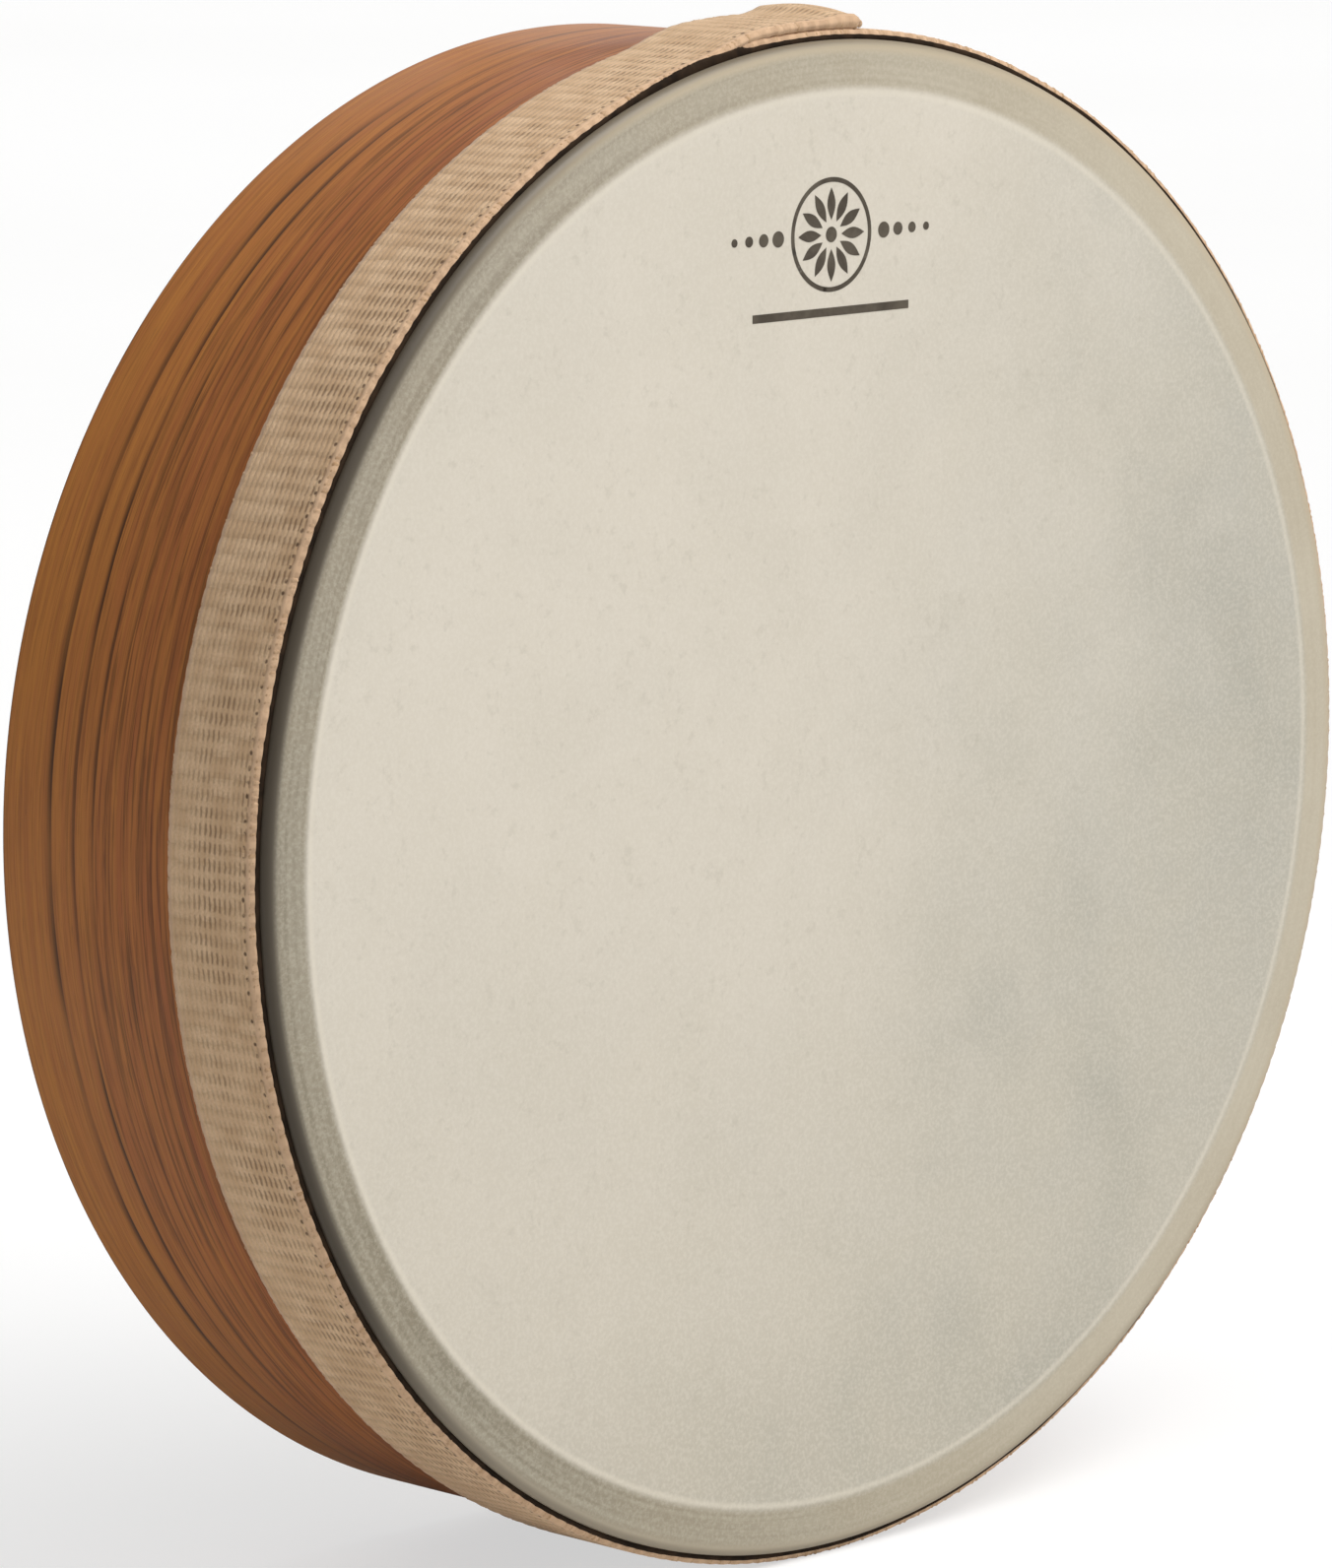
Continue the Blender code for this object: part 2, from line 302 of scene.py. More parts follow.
# Colours of the head
HEAD_TONES = {
    "middle": rgb(214, 206, 192),
    # The grey side, right rim, low and lowest tones are painted shade, greyer and darker towards the right
    # and the bottom
    "grey side": rgb(186, 182, 170),
    "right rim": rgb(172, 169, 158),
    "low": rgb(188, 180, 164),
    "lowest": rgb(168, 161, 146),
    "blotch": rgb(168, 165, 153),
    "mottle": rgb(196, 188, 170),
    "speck": rgb(226, 220, 208),
    "fleck": rgb(172, 164, 148),
    # Painted highlight along the crest of the bearing edge
    "crest_highlight": rgb(222, 214, 198),
    # The collar is darker where wood lies under the film and darker still on its left and lower side,
    # painted shade that the top and right tones lift
    "collar": rgb(132, 124, 106),
    "collar top": rgb(146, 137, 121),
    "collar right": rgb(190, 180, 160),
    "collar pale": rgb(206, 198, 180),
    "collar cloud": rgb(160, 146, 122),
    # The shoulder is dark from the glue under the film and from painted shade on its left, which thins out
    # near the floor
    "shoulder": rgb(88, 80, 68),
    "shoulder right": rgb(190, 176, 152),
    "shoulder low": rgb(158, 148, 130),
    # Painted shade on the film beside the dark glue
    "glue_shade": rgb(66, 57, 45),
}
# Where each comes in: two places right of or above the axis, and the shares there
HEAD_FADES = {
    "grey side": (-0.03, 0.15),
    "right rim": (0.065, 0.115, 0.0, 0.35),
    "low": (0.03, -0.12, 0.0, 0.5),
    "lowest": (-0.080, -0.115, 0.0, 0.35),
    "blotch": (0.02, 0.12, 0.08, 0.60),
    "mottle": (-0.08, 0.12, 0.14, 0.30),
    "collar top": (-0.12, 0.12),
    "collar right": (-0.110, 0.105),
    "shoulder right": (-0.110, -0.030),
    "shoulder low": (-0.060, -0.105, 0.0, 0.7),
    "glue_shade": (0.08, -0.03, 0.15, 0.72),
}


# Nodes ---------------------------------------------------------------------------------------


class Nodes:
    """Adds nodes to one tree and links them."""

    def __init__(self, tree):
        self.tree = tree

    def feed(self, socket, value):
        if isinstance(value, bpy.types.NodeSocket):
            self.tree.links.new(value, socket)
        elif value is not None:
            socket.default_value = value

    def add(self, kind, inputs=None, **settings):
        node = self.tree.nodes.new(kind)
        for name, value in settings.items():
            setattr(node, name, value)
        for name, value in (inputs or {}).items():
            self.feed(node.inputs[name], value)
        return node

    def math(self, operation, first, second=None, third=None, clamp=False):
        node = self.add("ShaderNodeMath", operation=operation, use_clamp=clamp)
        for socket, value in zip(node.inputs, (first, second, third)):
            self.feed(socket, value)
        return node.outputs[0]

    def times(self, first, second):
        return self.math("MULTIPLY", first, second)

    def times_plus(self, first, second, added):
        return self.math("MULTIPLY_ADD", first, second, added)

    def vector(self, x=0.0, y=0.0, z=0.0):
        return self.add("ShaderNodeCombineXYZ", {"X": x, "Y": y, "Z": z}).outputs[0]

    def vector_math(self, operation, first, second=None):
        node = self.add("ShaderNodeVectorMath", operation=operation)
        self.feed(node.inputs[0], first)
        self.feed(node.inputs[1], second)
        return node.outputs[0]

    def split(self, vector):
        return self.add("ShaderNodeSeparateXYZ", {"Vector": vector}).outputs

    def wave(self, value, period):
        """Absolute sine: 0 at every whole period, 1 halfway between."""
        sine = self.math("SINE", self.math("MULTIPLY", value, math.pi / period))
        return self.math("ABSOLUTE", sine)

    def noise(self, vector, scale, detail=3.0, roughness=0.5, distortion=0.0):
        inputs = {
            "Vector": vector,
            "Scale": scale,
            "Detail": detail,
            "Roughness": roughness,
            "Distortion": distortion,
        }
        return self.add("ShaderNodeTexNoise", inputs).outputs["Fac"]

    def ramp(self, value, low, high, start=0.0, end=1.0):
        inputs = {
            "Value": value,
            "From Min": low,
            "From Max": high,
            "To Min": start,
            "To Max": end,
        }
        node = self.add("ShaderNodeMapRange", inputs, interpolation_type="SMOOTHSTEP")
        return node.outputs["Result"]

    def mix(self, share, first, second):
        node = self.add("ShaderNodeMix", data_type="RGBA")
        self.feed(node.inputs[0], share)
        self.feed(node.inputs[6], first)
        self.feed(node.inputs[7], second)
        return node.outputs[2]


def make_group(name, kind, inputs, outputs):
    """A node group with named inputs (socket type, name, starting value) and outputs."""
    tree = bpy.data.node_groups.new(name, kind)
    for socket_type, label, value in inputs:
        socket = tree.interface.new_socket(label, in_out="INPUT", socket_type=socket_type)
        if value is not None:
            socket.default_value = value
    for socket_type, label in outputs:
        tree.interface.new_socket(label, in_out="OUTPUT", socket_type=socket_type)
    nodes = Nodes(tree)
    source = nodes.add("NodeGroupInput").outputs
    target = nodes.add("NodeGroupOutput").inputs
    return nodes, source, target


def make_material(name):
    """A material's nodes and its Principled shader."""
    material = bpy.data.materials.new(name)
    material.use_nodes = True
    nodes = Nodes(material.node_tree)
    return material, nodes, material.node_tree.nodes["Principled BSDF"]


def dress(nodes, shader, values):
    """Fills in a shader: nodes are linked to it, and plain numbers are set on it."""
    for name, value in values.items():
        nodes.feed(shader.inputs[name], value)


def use_group(nodes, group, inputs):
    node = nodes.add("ShaderNodeGroup", node_tree=group)
    for name, value in inputs.items():
        nodes.feed(node.inputs[name], value)
    return node.outputs


def bump(nodes, height, strength, distance):
    inputs = {"Height": height, "Strength": strength, "Distance": distance}
    return nodes.add("ShaderNodeBump", inputs).outputs["Normal"]


# Shared effects --------------------------------------------------------------------------------


def wood_grain_group():
    """Grain that runs along a veneer: growth lines, soft bands, streaks, fibres and pores.

    Along and Across are in metres, and Lines counts the growth lines across the veneer.
    """
    inputs = (
        ("NodeSocketFloat", "Along", 0.0),
        ("NodeSocketFloat", "Across", 0.0),
        ("NodeSocketFloat", "Lines", 0.0),
        ("NodeSocketColor", "Light Colour", None),
        ("NodeSocketColor", "Deep Colour", None),
        ("NodeSocketColor", "Line Colour", None),
        ("NodeSocketFloat", "Line Strength", 1.0),
        ("NodeSocketFloat", "Fibre Strength", 1.0),
    )
    outputs = (("NodeSocketColor", "Colour"), ("NodeSocketFloat", "Height"))
    nodes, source, target = make_group("wood_grain", "ShaderNodeTree", inputs, outputs)
    along, across = source["Along"], source["Across"]

    def grain(kind):
        """One of the noises that are drawn out along the grain."""
        along_scale, across_scale, detail, roughness, distortion = GRAIN[kind]
        spot = nodes.vector(
            nodes.times(along, along_scale),
            nodes.times(across, across_scale),
        )
        return nodes.noise(spot, 1.0, detail, roughness, distortion)

    wander = grain("wander")
    flutter = grain("flutter")
    # Both noises average one half, so their mean is taken off again
    line = nodes.times_plus(wander, LINE_WANDER, source["Lines"])
    line = nodes.times_plus(flutter, LINE_FLUTTER, line)
    line = nodes.math("MAXIMUM", nodes.math("SUBTRACT", line, LINE_WANDER_MEAN), 0.0)
    saw = nodes.math("FRACT", line)
    fall = nodes.ramp(saw, *LATE_WOOD_END)
    crisp = nodes.times(nodes.ramp(saw, *LATE_WOOD), fall)
    soft = nodes.times(nodes.ramp(saw, *LATE_WOOD_SOFT), fall)
    breaks_along, breaks_scale = LINE_BREAKS
    break_place = nodes.vector(nodes.times(along, breaks_along), nodes.math("FLOOR", line))
    breaks = nodes.noise(break_place, breaks_scale, 2.0)
    late = nodes.times_plus(soft, GRAIN_SHARES["soft line"], nodes.times(crisp, GRAIN_SHARES["crisp line"]))
    late = nodes.times(late, nodes.ramp(breaks, *GRAIN_RANGES["breaks"]))
    late = nodes.times(late, nodes.ramp(line, *FAINT_LINES))
    late = nodes.math("MULTIPLY", late, source["Line Strength"], clamp=True)
    dense = nodes.ramp(across, *DENSE_GRAIN, STREAK_FADE, 1.0)
    fibres = grain("fibres")
    masks = {"dense": dense, "fibres": nodes.ramp(fibres, *GRAIN_RANGES["fibres"])}
    for kind in ("bands", "streaks", "dark streaks", "pores"):
        masks[kind] = nodes.ramp(grain(kind), *GRAIN_RANGES[kind])
    masks["dark streaks"] = nodes.times(masks["dark streaks"], dense)

    tone = 0.0
    for kind in ("streaks", "bands", "dense"):
        tone = nodes.times_plus(masks[kind], GRAIN_SHARES[kind], tone)
    colour = nodes.mix(tone, source["Light Colour"], source["Deep Colour"])
    share = nodes.times(masks["dark streaks"], GRAIN_SHARES["dark streaks"])
    colour = nodes.mix(share, colour, source["Line Colour"])
    colour = nodes.mix(late, colour, source["Line Colour"])
    for kind in ("fibres", "pores"):
        shade = nodes.times(nodes.times(masks[kind], GRAIN_SHARES[kind]), source["Fibre Strength"])
        colour = nodes.mix(shade, colour, source["Line Colour"])
    height = nodes.times_plus(fibres, GRAIN_DEPTHS["fibres"], nodes.times(late, GRAIN_DEPTHS["lines"]))
    height = nodes.times_plus(masks["pores"], GRAIN_DEPTHS["pores"], height)
    nodes.feed(target["Colour"], colour)
    nodes.feed(target["Height"], height)
    return nodes.tree


def clouding_group():
    """Soft clouds with a fine tooth over them."""
    inputs = (
        ("NodeSocketVector", "Vector", None),
        ("NodeSocketFloat", "Cloud Scale", 20.0),
        ("NodeSocketFloat", "Tooth Scale", 900.0),
    )
    outputs = (("NodeSocketFloat", "Clouds"), ("NodeSocketFloat", "Tooth"))
    nodes, source, target = make_group("clouding", "ShaderNodeTree", inputs, outputs)
    clouds = nodes.noise(source["Vector"], source["Cloud Scale"], 5.0, 0.55, 0.4)
    tooth = nodes.noise(source["Vector"], source["Tooth Scale"], 3.0, 0.7)
    nodes.feed(target["Clouds"], nodes.ramp(clouds, 0.3, 0.7))
    nodes.feed(target["Tooth"], tooth)
    return nodes.tree


def drum_place_group():
    """Distance from the drum's axis, clock angle, and how far right of and above the axis."""
    inputs = (("NodeSocketVector", "Vector", None),)
    outputs = (
        ("NodeSocketFloat", "Radius"),
        ("NodeSocketFloat", "Clock"),
        ("NodeSocketFloat", "Right"),
        ("NodeSocketFloat", "Up"),
    )
    nodes, source, target = make_group("drum_place", "ShaderNodeTree", inputs, outputs)
    mapping = nodes.add("ShaderNodeMapping", {"Vector": source["Vector"]})
    mapping.inputs["Location"].default_value = (-AXIS_X, 0.0, -AXIS_Z)
    parts = nodes.split(mapping.outputs[0])
    square = nodes.times(parts["X"], parts["X"])
    square = nodes.times_plus(parts["Z"], parts["Z"], square)
    nodes.feed(target["Radius"], nodes.math("SQRT", square))
    nodes.feed(target["Clock"], nodes.math("ARCTAN2", parts["X"], parts["Z"]))
    nodes.feed(target["Right"], parts["X"])
    nodes.feed(target["Up"], parts["Z"])
    return nodes.tree


WOOD_GRAIN = wood_grain_group()
CLOUDING = clouding_group()
DRUM_PLACE = drum_place_group()


def object_place(nodes):
    return nodes.add("ShaderNodeTexCoord").outputs["Object"]


# Materials -------------------------------------------------------------------------------------


def wood_material(name, light, deep, line, line_strength, line_rise, fibre, stain, gloss):
    """A veneer whose growth lines close up from the back edge towards the head.

    stain is how dark its back edge is, and gloss is (roughness, specular level).
    """
    material, nodes, shader = make_material(name)
    uv = nodes.add("ShaderNodeUVMap", uv_map="along_across").outputs[0]
    parts = nodes.split(uv)
    lines = nodes.math("POWER", nodes.math("DIVIDE", parts["Y"], FIRST_GROWTH_LINE), line_rise)
    grain = use_group(nodes, WOOD_GRAIN, {
        "Along": parts["X"],
        "Across": parts["Y"],
        "Lines": lines,
        "Light Colour": light,
        "Deep Colour": deep,
        "Line Colour": line,
        "Line Strength": line_strength,
        "Fibre Strength": fibre,
    })
    stained = nodes.ramp(parts["Y"], EDGE_ROUNDING * 1.3, EDGE_ROUNDING * 0.2, 0.0, stain)
    cloud = use_group(nodes, CLOUDING, {"Vector": object_place(nodes)})
    roughness, specular = gloss
    rough = nodes.ramp(cloud["Clouds"], 0.0, 1.0, roughness - 0.04, roughness + 0.06)
    dress(nodes, shader, {
        "Base Color": nodes.mix(stained, grain["Colour"], line),
        "Roughness": rough,
        "Normal": bump(nodes, grain["Height"], 0.35, 0.00012),
        "Specular IOR Level": specular,
    })
    return material


def film_material():
    """A cloudy fibrous film: a pale playing area, and a darker edge where wood lies under it. Painted shade
    greys the lower right, darkens the left side of the edge and the film beside the glue, and a painted
    highlight runs over the crest.
    """
    material, nodes, shader = make_material("head_film")
    spot = object_place(nodes)
    where = use_group(nodes, DRUM_PLACE, {"Vector": spot})
    wide = use_group(nodes, CLOUDING, {"Vector": spot, **CLOUDS_WIDE})
    close = use_group(nodes, CLOUDING, {"Vector": spot, **CLOUDS_CLOSE})

    def fade(value, tone):
        return nodes.ramp(value, *HEAD_FADES[tone])

    def lay(colour, layers):
        """Lays tones over a colour, each by its mask."""
        for mask, tone in layers:
            colour = nodes.mix(mask, colour, HEAD_TONES[tone])
        return colour

    # Warm on the left and in the middle, greyer towards the right and the lower right, and darker towards
    # the right and lower rim: painted shade
    lean = nodes.times_plus(where["Up"], -0.55, where["Right"])
    lean = nodes.times_plus(wide["Clouds"], 0.05, lean)
    blotch = nodes.ramp(nodes.noise(spot, BLOTCH_SCALE, 3.0, 0.55, 0.6), 0.40, 0.68)
    speck = nodes.times(nodes.ramp(close["Tooth"], 0.40, 0.66), 0.26)
    playing = lay(HEAD_TONES["middle"], (
        (fade(lean, "grey side"), "grey side"),
        (fade(where["Right"], "right rim"), "right rim"),
        (fade(where["Up"], "low"), "low"),
        (fade(where["Up"], "lowest"), "lowest"),
        (nodes.times(blotch, fade(lean, "blotch")), "blotch"),
        (nodes.times(close["Clouds"], fade(lean, "mottle")), "mottle"),
        (speck, "speck"),
        (nodes.times(nodes.ramp(wide["Tooth"], 0.56, 0.72), 0.20), "fleck"),
    ))
    # Film over the wooden edge, darker where wood lies under it, with painted shade on its left and lower
    # side and faint rings that run round it
    ring_place = nodes.vector(nodes.times(where["Radius"], RING_FINENESS), where["Clock"])
    collar = lay(HEAD_TONES["collar"], (
        (fade(where["Up"], "collar top"), "collar top"),
        (fade(where["Right"], "collar right"), "collar right"),
        (nodes.ramp(nodes.noise(ring_place, 1.0, 3.0), 0.35, 0.65, 0.0, 0.22), "collar pale"),
        (nodes.times(close["Clouds"], 0.22), "collar cloud"),
        (speck, "collar pale"),
    ))
    # The formed shoulder is dark on the left, partly from dark glue under the film and partly painted
    # shade, and the painted shade on it thins out near the floor
    thinning = fade(where["Up"], "shoulder low")
    shoulder = lay(HEAD_TONES["shoulder"], (
        (fade(where["Right"], "shoulder right"), "shoulder right"),
        (thinning, "shoulder low"),
    ))
    past_crest = nodes.math("SUBTRACT", where["Radius"], CREST_RADIUS)
    from_rim = nodes.math("SUBTRACT", FILM_RIM, where["Radius"])
    in_rolls = nodes.math("DIVIDE", from_rim, ROLL_RADIUS)
    on_collar = nodes.ramp(past_crest, *COLLAR_STARTS)
    on_shoulder = nodes.ramp(in_rolls, *SHOULDER_GROWS)
    skin_colour = nodes.mix(on_collar, playing, collar)
    skin_colour = nodes.mix(on_shoulder, skin_colour, shoulder)
    # Painted shade darkens the film beside the dark glue, and a painted highlight runs as a pale line over
    # the bearing edge
    glue_shade = nodes.times(nodes.ramp(from_rim, *GLUE_SHADE_GROWS), fade(where["Right"], "glue_shade"))
    glue_shade = nodes.times(glue_shade, nodes.math("SUBTRACT", 1.0, thinning))
    # The pale line over the crest is a painted highlight
    crest_highlight = nodes.times(
        nodes.ramp(past_crest, *CREST_HIGHLIGHT_GROWS),
        nodes.ramp(past_crest, *CREST_HIGHLIGHT_FADES),
    )
    crest_highlight = nodes.times(crest_highlight, 0.45)
    relief = nodes.times_plus(close["Tooth"], 0.6, nodes.times(wide["Tooth"], 0.5))
    dress(nodes, shader, {
        "Base Color": lay(skin_colour, ((glue_shade, "glue_shade"), (crest_highlight, "crest_highlight"))),
        "Roughness": nodes.ramp(wide["Clouds"], 0.0, 1.0, 0.44, 0.54),
        "Normal": bump(nodes, relief, 0.2, 0.00008),
        "Specular IOR Level": 0.35,
    })
    return material


def webbing_material(name, yarn, shade, groove):
    """Ribbed cotton webbing: weft ribs, with the finer warp yarns along the strap over them, and painted
    shade in the gaps between yarns and in the grooves between ribs.
    """
    material, nodes, shader = make_material(name)
    phase = nodes.add("ShaderNodeAttribute", attribute_name="rib_phase").outputs["Fac"]
    across = nodes.add("ShaderNodeAttribute", attribute_name="strap_across").outputs["Fac"]
    along = nodes.times(phase, RIB_PITCH)
    spot = nodes.vector(along, across)

    def fade(value, kind):
        return nodes.ramp(value, *WEAVE_RANGES[kind])

    wobble = nodes.noise(spot, WEAVE_WOBBLE, 2.0)
    yarns = nodes.wave(nodes.times_plus(wobble, YARN_WANDER, across), YARN_PITCH)
    rib = nodes.wave(phase, 1.0)
    fleck = nodes.noise(spot, WEAVE_FLECK, 3.0, 0.75)
    tone_across, tone_scale = RIB_TONES
    one_rib = nodes.vector(nodes.math("FLOOR", phase), nodes.times(across, tone_across))
    per_rib = nodes.noise(one_rib, tone_scale, 1.0)
    cloud = use_group(nodes, CLOUDING, {"Vector": spot, **WEAVE_CLOUDS})
    # Painted shade: dark dashes in the gaps between yarns and dark grooves between ribs
    dashed = [WEBBING_WIDTH * share for share in DASHED_PART]
    between = nodes.times(fade(yarns, "gap between yarns"), nodes.ramp(across, *dashed, 0.2, 1.0))
    dash = nodes.times(between, fade(rib, "dash on a rib"))
    groove_shade = nodes.times(fade(rib, "groove between ribs"), fade(cloud["Tooth"], "groove breaks"))
    colour = nodes.mix(fade(per_rib, "rib tone"), yarn, shade)
    colour = nodes.mix(fade(fleck, "fleck"), colour, shade)
    colour = nodes.mix(nodes.times(dash, fade(cloud["Clouds"], "uneven dash shade")), colour, groove)
    colour = nodes.mix(nodes.times(groove_shade, GROOVE_SHADE_SHARE), colour, groove)
    # Paler edges, with a row of small holes beside the front one, darkened with painted shade
    inset = nodes.math("SUBTRACT", WEBBING_WIDTH / 2, nodes.math("ABSOLUTE", across))
    edge = nodes.times(nodes.ramp(inset, *PALE_EDGE), PALE_EDGE_SHARE)
    colour = nodes.mix(edge, colour, PALE_YARN)
    row = nodes.math("ADD", across, WEBBING_WIDTH / 2 - HOLE_INSET)
    row = nodes.math("DIVIDE", row, HOLE_SIZE)
    count = nodes.math("DIVIDE", along, HOLE_PITCH)
    turn = nodes.math("SUBTRACT", nodes.math("FRACT", count), 0.5)
    turn = nodes.math("DIVIDE", nodes.times(turn, HOLE_PITCH), HOLE_SIZE)
    square = nodes.times_plus(row, row, nodes.times(turn, turn))
    distance = nodes.math("SQRT", square)
    hole = nodes.times(fade(distance, "hole"), fade(wobble, "hole depth"))
    colour = nodes.mix(nodes.times(hole, HOLE_SHARE), colour, HOLE_SHADE)
    relief = 0.0
    for value, kind in ((rib, "ribs"), (yarns, "yarns"), (fleck, "flecks"), (hole, "holes")):
        relief = nodes.times_plus(value, WEAVE_RELIEF[kind], relief)
    dress(nodes, shader, {
        "Base Color": colour,
        "Normal": bump(nodes, relief, 0.8, 0.00022),
        "Roughness": 0.88,
        "Specular IOR Level": 0.2,
        "Sheen Weight": 0.12,
        "Sheen Roughness": 0.5,
    })
    return material


def selvage_material():
    """The small loops of weft yarn that show along both edges of the webbing."""
    material, nodes, shader = make_material("webbing_selvage")
    inputs = {"Vector": object_place(nodes), "Cloud Scale": 160.0, "Tooth Scale": 2600.0}
    cloud = use_group(nodes, CLOUDING, inputs)
    colour = nodes.mix(cloud["Clouds"], rgb(206, 174, 142), rgb(182, 148, 112))
    colour = nodes.mix(nodes.ramp(cloud["Tooth"], 0.4, 0.7, 0.0, 0.5), colour, rgb(146, 112, 80))
    dress(nodes, shader, {
        "Base Color": colour,
        "Normal": bump(nodes, cloud["Tooth"], 0.6, 0.0001),
        "Roughness": 0.85,
        "Specular IOR Level": 0.2,
        "Sheen Weight": 0.12,
    })
    return material


def plain_material(name, first, second, roughness, specular, cloud_scale, bump_distance):
    """A clouded finish for glue, tape and ink. The near-black glue and tape are partly painted shade."""
    material, nodes, shader = make_material(name)
    cloud = use_group(nodes, CLOUDING, {"Vector": object_place(nodes), "Cloud Scale": cloud_scale})
    rough = nodes.ramp(cloud["Tooth"], 0.3, 0.7, roughness - 0.06, roughness + 0.06)
    dress(nodes, shader, {
        "Base Color": nodes.mix(cloud["Clouds"], first, second),
        "Roughness": rough,
        "Normal": bump(nodes, cloud["Tooth"], 0.4, bump_distance),
        "Specular IOR Level": specular,
    })
    return material


def floor_material():
    """Pale paper that looks brighter to the camera than it does to the drum standing on it."""
    material, nodes, shader = make_material("pale_floor")
    cloud = use_group(nodes, CLOUDING, {"Vector": object_place(nodes), "Cloud Scale": 1.5})
    seen = nodes.add("ShaderNodeLightPath").outputs["Is Camera Ray"]
    paper = nodes.mix(cloud["Clouds"], FLOOR_SEEN, FLOOR_SEEN_DEEP)
    dress(nodes, shader, {
        "Base Color": nodes.mix(seen, FLOOR_BOUNCE, paper),
        "Emission Color": nodes.mix(seen, (0.0, 0.0, 0.0, 1.0), FLOOR_GLOW),
        "Emission Strength": 1.0,
        "Roughness": 0.8,
        "Specular IOR Level": 0.1,
    })
    return material


# Light, deep and line colours, strength and rise of the growth lines, fibre, back edge, gloss
FACE_WOOD = wood_material(
    "face_wood", rgb(186, 124, 60), rgb(158, 92, 55), rgb(80, 52, 33),
    0.9, 1.75, 1.0, 0.75, (0.50, 0.17),
)
CORE_WOOD = wood_material(
    "core_wood", rgb(196, 156, 112), rgb(166, 124, 84), rgb(122, 84, 54),
    0.5, 1.3, 0.7, 0.1, (0.65, 0.3),
)
DARK_CORE_WOOD = wood_material(
    "dark_core_wood", rgb(146, 104, 68), rgb(118, 80, 50), rgb(80, 52, 32),
    0.5, 1.2, 0.7, 0.2, (0.65, 0.3),
)
INNER_WOOD = wood_material(
    "inner_wood", rgb(190, 146, 98), rgb(160, 116, 72), rgb(108, 72, 42),
    0.8, 1.4, 0.9, 0.1, (0.58, 0.3),
)
FILM = film_material()
# The third webbing colour is the painted shade of its gaps and grooves
WEBBING = webbing_material("webbing", rgb(222, 190, 154), rgb(188, 152, 114), rgb(108, 78, 48))
SELVAGE = selvage_material()
# The near-black glue is partly painted shade in the gap between the webbing and the head
DARK_GLUE_AND_SHADE = plain_material("dark_glue", rgb(30, 22, 15), rgb(54, 40, 28), 0.8, 0.1, 260.0, 0.0001)
CLEAR_GLUE = plain_material(
    "clear_glue", rgb(176, 148, 104), rgb(150, 122, 80), 0.35, 0.5, 120.0, 0.00005
)
# The near-black tape is partly painted shade in the gap at the webbing's edge
DARK_TAPE_AND_SHADE = plain_material("dark_tape_and_shade", rgb(24, 19, 16), rgb(36, 29, 24), 0.7, 0.15, 90.0, 0.00005)
INK = plain_material("ornament_ink", rgb(70, 62, 52), rgb(92, 84, 72), 0.55, 0.3, 260.0, 0.00001)
FLOOR = floor_material()


# Meshes ----------------------------------------------------------------------------------------


def add_piece(name, mesh_data, material, smooth_angle=40.0):
    """Turns a bmesh into a piece at the origin, with its faces pointing out."""
    bmesh.ops.recalc_face_normals(mesh_data, faces=mesh_data.faces[:])
    mesh = bpy.data.meshes.new(name)
    mesh_data.to_mesh(mesh)
    mesh_data.free()
    mesh.shade_smooth()
    mesh.set_sharp_from_angle(angle=math.radians(smooth_angle))
    mesh.materials.append(material)
    piece = bpy.data.objects.new(name, mesh)
    bpy.context.scene.collection.objects.link(piece)
    return piece


def rounded_section(corners):
    """A closed section through (radius, height, rounding) corners.

    Each rounding lies between two held points, which keep the flats beside it flat when smooth.
    """
    section = []
    for index, (radius, height, rounding) in enumerate(corners):
        corner = Vector((radius, height))
        before = (Vector(corners[index - 1][:2]) - corner).normalized()
        after = (Vector(corners[(index + 1) % len(corners)][:2]) - corner).normalized()
        start = corner + before * rounding
        end = corner + after * rounding
        section.append(start + before * rounding * HOLD_SHARE)
        for step in range(CORNER_STEPS + 1):
            share = step / CORNER_STEPS
            first = start.lerp(corner, share)
            second = corner.lerp(end, share)
            section.append(first.lerp(second, share))
        section.append(end + after * rounding * HOLD_SHARE)
    return section


def skin(mesh_data, loops, closed):
    """Joins neighbouring loops with faces, and caps the two ends of an open strip."""
    count = len(loops[0])
    rows = [[mesh_data.verts.new(point) for point in loop] for loop in loops]
    for index in range(len(rows) if closed else len(rows) - 1):
        first = rows[index]
        second = rows[(index + 1) % len(rows)]
        for place_in_loop in range(count):
            following = (place_in_loop + 1) % count
            corners = (
                first[place_in_loop],
                first[following],
                second[following],
                second[place_in_loop],
            )
            mesh_data.faces.new(corners)
    if not closed:
        mesh_data.faces.new(rows[0])
        mesh_data.faces.new(rows[-1][::-1])
    return rows


def ply_section(index):
    """Section of one ply. Its front edge follows the slope of the bearing edge."""
    inner, outer, low, high = PLY_RINGS[index]
    last = len(PLY_RINGS) - 1
    inner -= 0.0 if index == 0 else PLY_GAP / 2
    outer += 0.0 if index == last else PLY_GAP / 2 - PLY_CLEARANCE
    outer_back = EDGE_ROUNDING if index == last else PLY_EASING
    inner_back = EDGE_ROUNDING if index == 0 else PLY_EASING
    if index == last:
        tops = (high, high)
    else:
        runs = [max(0.0, radius - CREST_RADIUS) for radius in (inner, outer)]
        tops = [BEARING_TOP - BEARING_SLOPE * run for run in runs]
    return rounded_section([
        (inner, low, inner_back),
        (outer, low, outer_back),
        (outer, tops[1], PLY_EASING),
        (inner, tops[0], CREST_ROUNDING if index == 0 else PLY_EASING),
    ])


